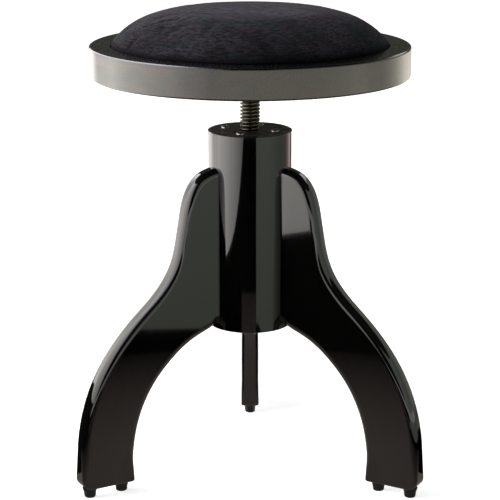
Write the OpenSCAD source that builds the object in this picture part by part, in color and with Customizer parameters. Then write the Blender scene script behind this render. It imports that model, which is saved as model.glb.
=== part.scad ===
// Revolving piano stool: a round upholstered seat on a screw spindle, which winds up and down
// through a steel nut let into the top of a turned column on three sawn, swept legs.
// Millimetres. The origin is on the column's axis at floor level, +Z is up.

/* [Seat] */
// Diameter of the turned seat ring
ring_d = 350; // [310:1:420]
// Height of the seat ring
ring_h = 33.4; // [28:0.2:45]
// Width of the ring's flat top, from its outer edge to the cushion opening
ring_lip_w = 23.5; // [20:0.5:36]
// Radius of the rounded arrises on the ring
ring_arris_r = 2.4; // [1:0.1:4]
// Width of the ledge over the seat board, inside the ring
ring_ledge_w = 12; // [10:0.5:14]
// Thickness of the plywood seat board let into the ring from below
seat_board_t = 15; // [12:0.5:18]
// Gap between the ring's underside and the column's top at rest
seat_gap = 61; // [56:0.5:90]

/* [Cushion] */
// Height of the cushion's crown over the ring
crown_h = 38.2; // [24:0.2:56]
// Power that flattens the middle of the crown
crown_flatness = 4.4; // [3:0.1:7]
// Power that rounds the crown's shoulder down to its side
crown_shoulder = 1.29; // [1.1:0.01:2]
// Thickness of the velvet cover and its lining
cover_t = 1.6; // [1.2:0.1:2.4]
// Clearance between the cover and the ring
cushion_gap = 0.5; // [0.3:0.1:2]
// Width of the cover's hem, turned under the cushion board
hem_w = 24; // [18:1:36]
// Thickness of the plywood cushion board
cushion_board_t = 9; // [8:0.5:12]
// Number of staples that hold the hem
staple_count = 16; // [8:1:24]

/* [Column] */
// Diameter of the turned column
column_d = 93.2; // [88:0.2:110]
// Length of the column
column_h = 221; // [205:1:260]
// Height of the column's underside over the floor
column_bottom_z = 170.5; // [150:0.5:190]
// Chamfer on the column's two edges
column_chamfer = 0.9; // [0.4:0.1:2]
// Diameter of the bore that clears the spindle
column_bore_d = 32; // [31:0.5:36]

/* [Legs] */
// Thickness of a leg board
leg_t = 22; // [20:0.5:30]
// Reach of a leg, from the column's side to the outside of the foot
leg_reach = 169; // [140:0.2:220]
// Depth of the leg's top below the column's top
leg_top_drop = 37.9; // [30:0.1:60]
// Height of the glued joint between leg and column
leg_joint_h = 175.6; // [150:0.2:180]
// Width of the foot
foot_w = 62.4; // [46:0.2:72]
// Radius of the rounded edges along the leg
leg_arris_r = 8.5; // [3:0.5:9]
// Radius of the arrises under the foot, where the rounded edges run out
foot_arris_r = 2; // [0.8:0.1:3]
// Radius of the foot's outer corner
foot_outer_r = 11; // [3:0.5:12]
// Radius of the foot's inner corner
foot_inner_r = 3; // [3:0.5:8]

/* [Dowels] */
// Diameter of the beech dowels between leg and column
dowel_d = 8; // [6:1:12]
// Depth of a dowel in the column
dowel_column_l = 19; // [12:1:22]
// Depth of a dowel in the leg
dowel_leg_l = 22; // [16:1:26]

/* [Glides] */
// Height of a glide under the foot
glide_h = 11; // [7:0.5:14]
// Diameter of a glide against the foot
glide_top_d = 16.5; // [14:0.5:18]
// Diameter of a glide on the floor
glide_bottom_d = 12.5; // [9:0.5:13.5]
// Distance from a glide's centre to the edge of the foot
glide_inset = 12; // [10:0.2:14]
// Diameter of the glide's nail
nail_d = 2.5; // [2:0.1:3]
// Length of the nail above the glide
nail_l = 16; // [10:1:22]
// Diameter of the nail's head
nail_head_d = 6; // [5:0.2:7]
// Thickness of the nail's head
nail_head_t = 1; // [0.6:0.1:1.4]

/* [Screw lift] */
// Diameter of the spindle over its thread
spindle_d = 22; // [20:0.5:24]
// Rise of the seat for one turn
thread_pitch = 4; // [3:0.5:5]
// Turns from the rest position up to the stop
turns_up = 15; // [12:1:16]
// Width of the wooden rim round the nut plate
column_rim_w = 3; // [2:0.1:5]
// Thickness of the nut plate
nut_plate_t = 4; // [3:0.5:6]
// Diameter of the nut's boss below the plate
nut_boss_d = 38; // [36:0.5:42]
// Length of the nut's boss below the plate
nut_boss_l = 36; // [28:1:44]
// Diameter of the circle on which the nut plate's screws stand
nut_screw_circle_d = 58.8; // [56:0.2:66]
// Turn of the first nut plate screw from the X axis, in degrees
nut_screw_turn = 68.8; // [0:0.2:90]
// Diameter of the steel flange under the seat
flange_d = 120; // [110:1:140]
// Thickness of the flange's plate
flange_t = 5; // [4:0.5:6]
// Diameter of the flange's boss round the spindle
flange_boss_d = 34; // [32:0.5:40]
// Height of the flange's boss below its plate
flange_boss_h = 14; // [8:1:15]
// Diameter of the circle on which the flange's screws stand
flange_screw_circle_d = 92; // [84:1:98]

/* [Stop] */
// Thickness of the stop washer at the spindle's lower end
stop_t = 6; // [4:0.5:8]
// Clearance between the stop washer and the column's bore
stop_gap = 0.5; // [0.3:0.1:0.8]
// Diameter of the spigot that carries the stop washer
spigot_d = 12; // [11:0.5:14]
// Diameter of the keeper washer under the stop washer
keeper_d = 22; // [18:0.5:24]
// Thickness of the keeper washer
keeper_t = 2; // [1.5:0.1:3]

/* [Hidden] */

$fn = 96;

// Clearances: a running fit, a glued or screwed seat, and room for glue at a dowel's end
running_gap = 0.06;
seat_fit = 0.05;
glue_room = 1;
// Free play of the stop washer on its spigot, above it and below it
stop_play = 0.3;
// How far every cut runs past the face it opens
overrun = 2;

// The seat's screws: shank diameter, head diameter and head height
wood_screw_d = 4;
wood_screw_head_d = 8;
wood_screw_head_h = 2.6;
ring_screw_count = 6;
ring_screw_bite = 12;
cushion_screw_count = 4;
cushion_screw_hem_gap = 15;
cushion_screw_tip_gap = 2;
// The pan-headed screws through steel: shank diameter, head diameter and head height
plate_screw_d = 4.5;
plate_screw_head_d = 9;
plate_screw_head_h = 2.6;
nut_screw_count = 4;
nut_screw_bite = 22;
flange_screw_count = 6;
flange_screw_bite = 11;
// The screw up into the spindle's end
stop_screw_d = 6;
stop_screw_bite = 20;
stop_screw_head_d = 10;
stop_screw_head_h = 4;
// A staple: crown width, wire and leg
staple_w = 10;
staple_wire = 0.9;
staple_leg = 6;
// The cushion board's rounded edge and the spindle's chamfered end
board_arris_r = 2;
spindle_chamfer = 1;

// The legs stand a third of a turn apart: right front, left front and back
leg_turns = [-30, 210, 90];

// Heights, from the floor up
column_top_z = column_bottom_z + column_h;
leg_top_z = column_top_z - leg_top_drop;
leg_joint_z = leg_top_z - leg_joint_h;
ring_z = column_top_z + seat_gap;
ring_top_z = ring_z + ring_h;
seat_board_top_z = ring_z + seat_board_t;
cushion_board_z = seat_board_top_z + cover_t;
foam_z = cushion_board_z + cushion_board_t;
nut_bottom_z = column_top_z - nut_plate_t - nut_boss_l;
stop_top_z = nut_bottom_z - thread_pitch * turns_up - stop_play;
shoulder_z = stop_top_z + stop_play;
spigot_z = stop_top_z - stop_t - stop_play;
keeper_z = spigot_z - keeper_t;

// Radii
column_r = column_d / 2;
ring_r = ring_d / 2;
opening_r = ring_r - ring_lip_w;
rebate_r = opening_r + ring_ledge_w;
cushion_r = opening_r - cushion_gap;
padding_r = cushion_r - cover_t - seat_fit;
ring_screw_r = opening_r + ring_ledge_w / 2;
cushion_screw_r = padding_r - hem_w - cushion_screw_hem_gap;
nut_recess_r = column_r - column_rim_w;

// A leg's outer edge in three curves, from the joint's top to the foot. Each point is a share
// of the leg's reach and of its height over the glides.
outer_edge_shares = [
    [[0, 1], [0.227, 0.986], [0.23, 0.871], [0.256, 0.81]],
    [[0.256, 0.81], [0.285, 0.738], [0.286, 0.675], [0.48, 0.586]],
    [[0.48, 0.586], [0.62, 0.522], [1, 0.386], [1, 0.085]]
];
// The arch inside the leg, from the joint's bottom to the foot: shares of the reach up to the
// foot and of the joint's height over the glides
inner_arch_shares = [
    [[0, 1], [0.08, 0.94], [0.249, 0.952], [0.502, 0.809]],
    [[0.502, 0.809], [0.812, 0.633], [1, 0.43], [1, 0.03]]
];
outer_steps = 8;
inner_steps = 12;
crown_steps = 18;
corner_steps = 4;
arris_turns = [90, 67.5, 45, 22.5, 0];
// Height over the glides at which a leg's edges have their full radius
foot_ease_h = 34;
// The dowels' places along the joint, from its bottom, as shares of its height
dowel_height_shares = [0.14, 0.5, 0.82];

// Points of the shapes

function bezier(p, t) =
    pow(1 - t, 3) * p[0] + 3 * pow(1 - t, 2) * t * p[1]
    + 3 * (1 - t) * t * t * p[2] + t * t * t * p[3];

// Curve through shares of a width and a height, from a corner
function swept(shares, corner, w, h, steps) =
    [for (part = shares, i = [0 : steps - 1])
        let (s = bezier(part, i / steps)) [corner.x + s.x * w, corner.y + s.y * h]];

function arc(centre, r, from, to, steps) =
    [for (i = [0 : steps])
        let (a = from + (to - from) * i / steps) centre + r * [cos(a), sin(a)]];

function reversed(points) = [for (i = [len(points) - 1 : -1 : 0]) points[i]];

// A leg's outline in its own plane, clockwise: distance from the axis, and height. Its first
// half runs down the outside and its second half back up the arch, with as many points.
function leg_outline() =
    let (foot_r = column_r + leg_reach,
         heel_r = foot_r - foot_w,
         root_r = column_r - leg_arris_r - overrun,
         outer = swept(outer_edge_shares, [column_r, glide_h],
                       leg_reach, leg_top_z - glide_h, outer_steps),
         inner = swept(inner_arch_shares, [column_r, glide_h],
                       leg_reach - foot_w, leg_joint_z - glide_h, inner_steps))
    concat([[root_r, leg_top_z]], outer,
           arc([foot_r - foot_outer_r, glide_h + foot_outer_r], foot_outer_r,
               0, -90, corner_steps),
           arc([heel_r + foot_inner_r, glide_h + foot_inner_r], foot_inner_r,
               -90, -180, corner_steps),
           reversed(inner), [[root_r, leg_joint_z]]);

// Normal to the right of the way from a to b, which points into a clockwise outline
function right_of(a, b) = let (d = (b - a) / norm(b - a)) [d.y, -d.x];

// The outline with each of its points moved in by a depth of its own
function drawn_in(points, depths) =
    let (n = len(points))
    [for (i = [0 : n - 1])
        let (before = right_of(points[(i + n - 1) % n], points[i]),
             after = right_of(points[i], points[(i + 1) % n]))
        points[i] + depths[i] * (before + after) / (1 + before * after)];

// Radius of a leg's rounded edges at a height, which runs out towards the foot
function edge_r(z) =
    let (share = min(max((z - glide_h) / foot_ease_h, 0), 1))
    foot_arris_r + (leg_arris_r - foot_arris_r) * share * share * (3 - 2 * share);

// Crown of the cushion at a share of its radius
function crown(share, h) =
    ring_top_z + h * pow(1 - pow(share, crown_flatness), 1 / crown_shoulder);

// The crown's profile from the middle out, closer together towards the side
function crown_profile(r, h, steps) =
    [for (i = [0 : steps]) let (s = sin(90 * i / steps)) [r * s, crown(s, h)]];

// Shapes that repeat

module around(count, r, turn = 0) {
    for (i = [0 : count - 1]) rotate([0, 0, turn + i * 360 / count]) translate([r, 0, 0])
        children();
}

// A pan head over z = 0 on a shank that goes down
module pan_screw(d, bite, head_d, head_h) {
    translate([0, 0, -bite]) cylinder(d = d, h = bite);
    rotate_extrude() polygon(concat(
        [[0, 0]], arc([head_d / 2 - head_h, 0], head_h, 0, 90, corner_steps), [[0, head_h]]));
}

// A countersunk head whose face is at z = 0 on a shank that goes up
module flat_screw(d, l, head_d, head_h) {
    cylinder(d = d, h = l);
    cylinder(d1 = head_d, d2 = d, h = head_h);
}

module leg_board() {
    outline = leg_outline();
    n = len(outline);
    radii = [for (p = outline) edge_r(p.y)];
    slices = concat([for (a = arris_turns) [a, -1]], [for (a = reversed(arris_turns)) [a, 1]]);
    points = [for (s = slices)
        let (line = drawn_in(outline, radii * (1 - cos(s[0]))))
        for (i = [0 : n - 1])
            [line[i].x, s[1] * (leg_t / 2 - radii[i] * (1 - sin(s[0]))), line[i].y]];
    bands = [for (j = [0 : len(slices) - 2], i = [0 : n - 1])
        let (a = j * n + i, b = j * n + (i + 1) % n) each [[a, a + n, b + n], [a, b + n, b]]];
    // Each face of the board is a strip from its outside edge across to its arch
    near = [for (i = [0 : n / 2 - 2])
        each [[i, i + 1, n - 1 - i], [i + 1, n - 2 - i, n - 1 - i]]];
    last = (len(slices) - 1) * n;
    far = [for (f = near) [f[2] + last, f[1] + last, f[0] + last]];
    polyhedron(points = points, faces = concat(bands, near, far));
}

// Dowels of one joint, lying along +X across the column's side
module dowel_row(gap, end_gap) {
    for (share = dowel_height_shares)
        translate([column_r - dowel_column_l - end_gap, 0, leg_joint_z + share * leg_joint_h])
            rotate([0, 90, 0])
                cylinder(d = dowel_d + 2 * gap, h = dowel_column_l + dowel_leg_l + 2 * end_gap);
}

function glide_r(outer) =
    outer ? column_r + leg_reach - glide_inset
          : column_r + leg_reach - foot_w + glide_inset;

module nail(gap = 0) {
    head_z = (glide_h - nail_head_t) / 2;
    translate([0, 0, head_z - gap]) cylinder(d = nail_head_d + 2 * gap,
                                             h = nail_head_t + 2 * gap);
    translate([0, 0, head_z]) cylinder(d = nail_d + 2 * gap,
                                       h = glide_h - head_z + nail_l + 2 * gap);
}

module leg(turn) {
    color([0.05, 0.05, 0.05]) rotate([0, 0, turn]) difference() {
        leg_board();
        cylinder(r = column_r + seat_fit, h = column_top_z);
        dowel_row(seat_fit, glue_room);
        for (outer = [true, false]) translate([glide_r(outer), 0, 0]) nail(seat_fit);
    }
}

module dowels(turn) {
    color([0.76, 0.6, 0.4]) rotate([0, 0, turn]) dowel_row(0, 0);
}

module glide(turn, outer) {
    floor_r = glide_bottom_d / 2;
    edge_r = (glide_top_d - glide_bottom_d) / 2;
    color([0.07, 0.07, 0.07]) rotate([0, 0, turn]) translate([glide_r(outer), 0, 0])
        difference() {
            rotate_extrude() polygon(concat(
                [[0, 0]], arc([floor_r - edge_r / 2, edge_r], edge_r, -90, 0, corner_steps),
                [[glide_top_d / 2, glide_h], [0, glide_h]]));
            nail(seat_fit);
        }
}

// Sub-parts of the base

module column() {
    edge = column_r - column_chamfer;
    color([0.04, 0.04, 0.04]) difference() {
        rotate_extrude() polygon([
            [0, column_bottom_z], [edge, column_bottom_z],
            [column_r, column_bottom_z + column_chamfer],
            [column_r, column_top_z - column_chamfer], [edge, column_top_z],
            [0, column_top_z]]);
        translate([0, 0, column_bottom_z - overrun])
            cylinder(d = column_bore_d, h = column_h + 2 * overrun);
        translate([0, 0, column_top_z - nut_plate_t])
            cylinder(r = nut_recess_r, h = nut_plate_t + overrun);
        translate([0, 0, nut_bottom_z])
            cylinder(d = nut_boss_d + 2 * seat_fit, h = nut_boss_l + overrun);
        translate([0, 0, column_top_z - nut_plate_t - nut_screw_bite])
            around(nut_screw_count, nut_screw_circle_d / 2, nut_screw_turn)
                cylinder(d = plate_screw_d + 2 * seat_fit, h = nut_screw_bite + overrun);
        for (turn = leg_turns) rotate([0, 0, turn]) dowel_row(seat_fit, glue_room);
    }
}

module nut_plate() {
    color([0.25, 0.24, 0.22]) difference() {
        union() {
            translate([0, 0, column_top_z - nut_plate_t])
                cylinder(r = nut_recess_r - seat_fit, h = nut_plate_t);
            translate([0, 0, nut_bottom_z])
                cylinder(d = nut_boss_d, h = nut_boss_l + nut_plate_t / 2);
        }
        translate([0, 0, nut_bottom_z - overrun])
            cylinder(d = spindle_d + 2 * running_gap, h = nut_boss_l + nut_plate_t + 2 * overrun);
        translate([0, 0, column_top_z - nut_plate_t - overrun])
            around(nut_screw_count, nut_screw_circle_d / 2, nut_screw_turn)
                cylinder(d = plate_screw_d + 2 * seat_fit, h = nut_plate_t + 2 * overrun);
    }
}

module nut_plate_screws() {
    color([0.6, 0.6, 0.6]) translate([0, 0, column_top_z])
        around(nut_screw_count, nut_screw_circle_d / 2, nut_screw_turn)
            pan_screw(plate_screw_d, nut_plate_t + nut_screw_bite,
                      plate_screw_head_d, plate_screw_head_h);
}

module glide_nails() {
    color([0.6, 0.6, 0.6]) for (turn = leg_turns, outer = [true, false])
        rotate([0, 0, turn]) translate([glide_r(outer), 0, 0]) nail();
}

// The loose stop washer, which rides up and down with the spindle

module stop_washer() {
    color([0.85, 0.83, 0.76]) translate([0, 0, stop_top_z - stop_t]) difference() {
        cylinder(d = column_bore_d - 2 * stop_gap, h = stop_t);
        translate([0, 0, -overrun])
            cylinder(d = spigot_d + 2 * running_gap, h = stop_t + 2 * overrun);
    }
}

// Sub-parts of the seat

module spindle() {
    r = spindle_d / 2;
    color([0.3, 0.3, 0.3]) difference() {
        rotate_extrude() polygon([
            [0, spigot_z], [spigot_d / 2, spigot_z], [spigot_d / 2, shoulder_z],
            [r - spindle_chamfer, shoulder_z], [r, shoulder_z + spindle_chamfer],
            [r, ring_z - spindle_chamfer], [r - spindle_chamfer, ring_z], [0, ring_z]]);
        translate([0, 0, spigot_z - overrun])
            cylinder(d = stop_screw_d + 2 * seat_fit,
                     h = stop_screw_bite + glue_room + overrun);
    }
}

module stop_keeper() {
    color([0.6, 0.6, 0.6]) translate([0, 0, keeper_z]) difference() {
        cylinder(d = keeper_d, h = keeper_t);
        translate([0, 0, -overrun])
            cylinder(d = stop_screw_d + 2 * seat_fit, h = keeper_t + 2 * overrun);
    }
}

module stop_screw() {
    color([0.5, 0.5, 0.5]) translate([0, 0, keeper_z]) {
        cylinder(d = stop_screw_d, h = keeper_t + stop_screw_bite);
        translate([0, 0, -stop_screw_head_h])
            cylinder(d = stop_screw_head_d, h = stop_screw_head_h, $fn = 6);
    }
}

module seat_flange() {
    color([0.25, 0.25, 0.25]) difference() {
        union() {
            translate([0, 0, ring_z - flange_t]) cylinder(d = flange_d, h = flange_t);
            translate([0, 0, ring_z - flange_t - flange_boss_h])
                cylinder(d = flange_boss_d, h = flange_boss_h + flange_t / 2);
        }
        translate([0, 0, ring_z - flange_t - flange_boss_h - overrun])
            cylinder(d = spindle_d + 2 * seat_fit, h = flange_boss_h + flange_t + 2 * overrun);
        translate([0, 0, ring_z - flange_t - overrun])
            around(flange_screw_count, flange_screw_circle_d / 2)
                cylinder(d = plate_screw_d + 2 * seat_fit, h = flange_t + 2 * overrun);
    }
}

module flange_screws() {
    color([0.6, 0.6, 0.6]) translate([0, 0, ring_z - flange_t])
        around(flange_screw_count, flange_screw_circle_d / 2) mirror([0, 0, 1])
            pan_screw(plate_screw_d, flange_t + flange_screw_bite,
                      plate_screw_head_d, plate_screw_head_h);
}

module seat_ring() {
    a = ring_arris_r;
    color([0.05, 0.05, 0.05]) difference() {
        rotate_extrude($fn = 180) polygon(concat(
            [[rebate_r, ring_z]],
            arc([ring_r - a, ring_z + a], a, -90, 0, corner_steps),
            arc([ring_r - a, ring_top_z - a], a, 0, 90, corner_steps),
            arc([opening_r + a / 2, ring_top_z - a / 2], a / 2, 90, 180, corner_steps),
            [[opening_r, seat_board_top_z], [rebate_r, seat_board_top_z]]));
        translate([0, 0, ring_z]) around(ring_screw_count, ring_screw_r)
            cylinder(d = wood_screw_d + 2 * seat_fit,
                     h = seat_board_t + ring_screw_bite + glue_room);
    }
}

module seat_board() {
    color([0.78, 0.64, 0.45]) difference() {
        translate([0, 0, ring_z]) cylinder(r = rebate_r - seat_fit, h = seat_board_t, $fn = 180);
        translate([0, 0, ring_z]) {
            around(ring_screw_count, ring_screw_r) flat_screw_hole();
            around(cushion_screw_count, cushion_screw_r) flat_screw_hole();
            around(flange_screw_count, flange_screw_circle_d / 2)
                translate([0, 0, -overrun])
                    cylinder(d = plate_screw_d + 2 * seat_fit,
                             h = flange_screw_bite + overrun + glue_room);
        }
    }
}

// The clearance that a countersunk screw needs through the seat board
module flat_screw_hole() {
    flat_screw(wood_screw_d + 2 * seat_fit, seat_board_t + overrun,
               wood_screw_head_d + 2 * seat_fit, wood_screw_head_h);
}

module ring_screws() {
    color([0.6, 0.6, 0.6]) translate([0, 0, ring_z]) around(ring_screw_count, ring_screw_r)
        flat_screw(wood_screw_d, seat_board_t + ring_screw_bite,
                   wood_screw_head_d, wood_screw_head_h);
}

// Each staple has a crown pressed into the hem and two legs up into the cushion board
module staple_ring(gap) {
    w = staple_wire + 2 * gap;
    translate([0, 0, seat_board_top_z - gap]) around(staple_count, padding_r - hem_w / 2) {
        translate([-w / 2, -staple_w / 2 - gap, 0]) cube([w, staple_w + 2 * gap, w]);
        for (side = [-1, 1])
            translate([-w / 2, side * (staple_w - staple_wire) / 2 - w / 2, 0])
                cube([w, w, staple_leg + cover_t + 2 * gap]);
    }
}

module cushion_board() {
    a = board_arris_r;
    color([0.8, 0.68, 0.5]) difference() {
        rotate_extrude($fn = 180) polygon(concat(
            [[0, cushion_board_z], [padding_r, cushion_board_z]],
            arc([padding_r - a, foam_z - a], a, 0, 90, corner_steps), [[0, foam_z]]));
        staple_ring(seat_fit);
        translate([0, 0, seat_board_top_z])
            around(cushion_screw_count, cushion_screw_r)
                cylinder(d = wood_screw_d + 2 * seat_fit,
                         h = cover_t + cushion_board_t - cushion_screw_tip_gap + seat_fit);
    }
}

module cushion_foam() {
    color([0.9, 0.85, 0.6]) rotate_extrude($fn = 180)
        polygon(concat([[0, foam_z], [padding_r, foam_z]],
                       reversed(crown_profile(padding_r, crown_h - cover_t - seat_fit,
                                              crown_steps))));
}

// The cover goes over the foam, down the side and under the cushion board, as one skin
module cushion_cover() {
    inner_r = cushion_r - cover_t;
    color([0.06, 0.05, 0.07]) difference() {
        rotate_extrude($fn = 180) polygon(concat(
            [[padding_r - hem_w, seat_board_top_z], [cushion_r, seat_board_top_z]],
            reversed(crown_profile(cushion_r, crown_h, crown_steps)),
            crown_profile(inner_r, crown_h - cover_t, crown_steps),
            [[inner_r, cushion_board_z], [padding_r - hem_w, cushion_board_z]]));
        staple_ring(seat_fit);
    }
}

module cover_staples() {
    color([0.7, 0.7, 0.7]) staple_ring(0);
}

module cushion_screws() {
    color([0.6, 0.6, 0.6]) translate([0, 0, ring_z])
        around(cushion_screw_count, cushion_screw_r)
            flat_screw(wood_screw_d,
                       seat_board_t + cover_t + cushion_board_t - cushion_screw_tip_gap,
                       wood_screw_head_d, wood_screw_head_h);
}

column();
nut_plate();
nut_plate_screws();
leg(leg_turns[0]);  // leg_right
leg(leg_turns[1]);  // leg_left
leg(leg_turns[2]);  // leg_back
dowels(leg_turns[0]);  // dowels_right
dowels(leg_turns[1]);  // dowels_left
dowels(leg_turns[2]);  // dowels_back
glide(leg_turns[0], true);  // glide_right_outer
glide(leg_turns[0], false);  // glide_right_inner
glide(leg_turns[1], true);  // glide_left_outer
glide(leg_turns[1], false);  // glide_left_inner
glide(leg_turns[2], true);  // glide_back_outer
glide(leg_turns[2], false);  // glide_back_inner
glide_nails();
stop_washer();
spindle();
stop_keeper();
stop_screw();
seat_flange();
flange_screws();
seat_ring();
seat_board();
ring_screws();
cushion_board();
cushion_foam();
cushion_cover();
cover_staples();
cushion_screws();
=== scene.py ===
"""Revolving piano stool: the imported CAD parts, dressed for the eye.

Everything is in metres in the frame of the CAD, with the column's axis on Z and the floor
at z = 0. Each sub-assembly is a class that holds its sizes and makes its own pieces.
"""

import logging
import math
from collections.abc import Sequence
from dataclasses import dataclass, field
from enum import Enum

import bmesh
import bpy
from mathutils import Euler, Matrix, Vector


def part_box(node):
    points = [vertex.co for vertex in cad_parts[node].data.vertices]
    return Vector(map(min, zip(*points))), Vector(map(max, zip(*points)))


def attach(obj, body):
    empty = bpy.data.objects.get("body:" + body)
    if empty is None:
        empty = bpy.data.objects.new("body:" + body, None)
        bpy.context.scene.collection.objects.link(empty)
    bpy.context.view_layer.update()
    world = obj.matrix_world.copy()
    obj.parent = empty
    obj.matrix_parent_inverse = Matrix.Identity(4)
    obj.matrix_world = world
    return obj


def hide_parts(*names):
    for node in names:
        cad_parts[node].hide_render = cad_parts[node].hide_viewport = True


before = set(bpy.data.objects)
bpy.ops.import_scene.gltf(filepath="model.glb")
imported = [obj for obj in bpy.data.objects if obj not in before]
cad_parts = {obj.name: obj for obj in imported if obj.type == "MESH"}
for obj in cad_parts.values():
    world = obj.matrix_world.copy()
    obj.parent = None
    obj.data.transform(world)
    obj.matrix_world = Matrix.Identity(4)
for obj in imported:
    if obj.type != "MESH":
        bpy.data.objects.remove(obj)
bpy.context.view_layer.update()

MM = 0.001
QUARTER = math.pi / 2
log = logging.getLogger("piano_stool")

Colour = tuple[float, float, float, float]
Point2 = tuple[float, float]
Point3 = tuple[float, float, float]
Socket = bpy.types.NodeSocket


class Body(Enum):
    """The bodies of the CAD frame that the scene's own pieces ride on."""

    BASE = "base"
    SEAT = "seat"


class Slot(Enum):
    """The record's material slots."""

    BLACK_LACQUER = "black_lacquer"
    BEECH = "beech"
    GLIDE_PLASTIC = "glide_plastic"
    ZINC_STEEL = "zinc_steel"
    DARK_STEEL = "dark_steel"
    THREAD_STEEL = "thread_steel"
    NYLON = "nylon"
    BLACK_ENAMEL = "black_enamel"
    STAINED_BOARD = "stained_board"
    PLYWOOD = "plywood"
    VELVET = "velvet"


# Colours and nodes


def linear(hex_colour: str) -> Colour:
    """Turn an sRGB hex colour to linear light.

    Args:
        hex_colour: A colour such as "#1a2b3c".

    Returns:
        Red, green, blue and an alpha of 1.
    """
    parts = [int(hex_colour[i : i + 2], 16) / 255 for i in (1, 3, 5)]
    r, g, b = (c / 12.92 if c <= 0.04045 else ((c + 0.055) / 1.055) ** 2.4 for c in parts)
    return (r, g, b, 1.0)


def feed(tree: bpy.types.NodeTree, node: bpy.types.Node, inputs: dict[str | int, object]) -> None:
    """Set a node's inputs.

    Args:
        tree: The node's tree.
        node: The node.
        inputs: A value, or a socket that gives one, by the input's name or number.
    """
    for key, given in inputs.items():
        if isinstance(given, Socket):
            tree.links.new(given, node.inputs[key])
        else:
            node.inputs[key].default_value = given


def add_node(
    tree: bpy.types.NodeTree,
    kind: str,
    inputs: dict[str | int, object] | None = None,
    **settings: object,
) -> bpy.types.Node:
    """Add one node with its settings and inputs.

    Args:
        tree: The tree that gets the node.
        kind: The node's type.
        inputs: A value, or a socket that gives one, by the input's name or number.
        **settings: The node's own properties.

    Returns:
        The new node.
    """
    node = tree.nodes.new(kind)
    for name, value in settings.items():
        setattr(node, name, value)
    feed(tree, node, inputs or {})
    return node


def bare_tree(owner: bpy.types.Material | bpy.types.World) -> bpy.types.NodeTree:
    """Empty the node tree of a material or a world.

    Args:
        owner: The material or the world.

    Returns:
        Its tree, with no nodes.
    """
    owner.use_nodes = True
    owner.node_tree.nodes.clear()
    return owner.node_tree


@dataclass
class Surface:
    """The nodes of one material, and the steps in which its finish is laid on."""

    tree: bpy.types.NodeTree

    def __post_init__(self) -> None:
        """Start with a Principled shader."""
        self.shader = add_node(self.tree, "ShaderNodeBsdfPrincipled")
        add_node(self.tree, "ShaderNodeOutputMaterial", {"Surface": self.shader.outputs["BSDF"]})

    def wears(self, inputs: dict[str, object]) -> None:
        """Set the shader's inputs, each to a value or to a socket that gives one."""
        feed(self.tree, self.shader, inputs)

    def place(self) -> Socket:
        """Return the place on the piece, from its origin."""
        return add_node(self.tree, "ShaderNodeTexCoord").outputs["Object"]

    def height(self) -> Socket:
        """Return the height over the floor."""
        return add_node(self.tree, "ShaderNodeSeparateXYZ", {0: self.place()}).outputs["Z"]

    def pattern(
        self,
        size: Point3,
        detail: float = 2.0,
        turn: Point3 = (0.0, 0.0, 0.0),
        attribute: str = "",
        distortion: float = 0.0,
    ) -> Socket:
        """Draw a cloudy pattern whose grain has a real size.

        Args:
            size: Size of the pattern's grain along X, Y and Z, in metres.
            detail: Octaves of finer grain.
            turn: Rotation of the pattern, in radians.
            attribute: Name of the mesh attribute that gives the place; Object coordinates
                where it is empty.
            distortion: How far the pattern is warped.

        Returns:
            The pattern, from 0 to 1.
        """
        if attribute:
            named = add_node(self.tree, "ShaderNodeAttribute", attribute_name=attribute)
            place = named.outputs["Vector"]
        else:
            place = self.place()
        turned = add_node(self.tree, "ShaderNodeMapping", {"Rotation": turn, "Vector": place})
        scaled = add_node(
            self.tree, "ShaderNodeVectorMath", {0: turned.outputs["Vector"], 1: size},
            operation="DIVIDE",
        )
        return add_node(
            self.tree, "ShaderNodeTexNoise",
            {
                "Scale": 1.0, "Detail": detail, "Distortion": distortion,
                "Vector": scaled.outputs["Vector"],
            },
        ).outputs["Fac"]

    def stain(
        self, colour: str, pattern: Socket, span: Point2, amounts: Point2 = (0.0, 1.0)
    ) -> None:
        """Lay a colour over the one that is there, as a pattern says.

        Args:
            colour: The colour.
            pattern: The pattern.
            span: The pattern's values between which the amount changes.
            amounts: How much of the colour there is below and above them.
        """
        share = add_node(
            self.tree, "ShaderNodeMapRange", {0: pattern} | dict(enumerate(span + amounts, 1)),
            interpolation_type="SMOOTHSTEP",
        ).outputs["Result"]
        base = self.shader.inputs["Base Color"]
        under = base.links[0].from_socket if base.links else tuple(base.default_value)
        mixed = add_node(
            self.tree, "ShaderNodeMix", {0: share, 6: under, 7: linear(colour)}, data_type="RGBA"
        )
        self.wears({"Base Color": mixed.outputs[2]})

    def dull(self, pattern: Socket, span: Point2, roughness: Point2) -> None:
        """Let the roughness follow a pattern.

        Args:
            pattern: The pattern.
            span: The pattern's values between which the roughness changes.
            roughness: The roughness below and above them.
        """
        level = add_node(
            self.tree, "ShaderNodeMapRange", {0: pattern} | dict(enumerate(span + roughness, 1)),
            interpolation_type="SMOOTHSTEP",
        )
        self.wears({"Roughness": level.outputs["Result"]})

    def emboss(self, pattern: Socket, depth: float, layer: str = "Normal") -> None:
        """Press a pattern into a layer, over the relief that is there.

        Args:
            pattern: The relief, from 0 to 1.
            depth: Its real depth, in metres.
            layer: The shader's input for the layer's normal.
        """
        laid = self.shader.inputs[layer].links
        under = {"Normal": laid[0].from_socket} if laid else {}
        bump = add_node(
            self.tree, "ShaderNodeBump",
            {"Strength": 1.0, "Distance": depth, "Height": pattern} | under,
        )
        self.wears({layer: bump.outputs["Normal"]})


# Finishes


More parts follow.
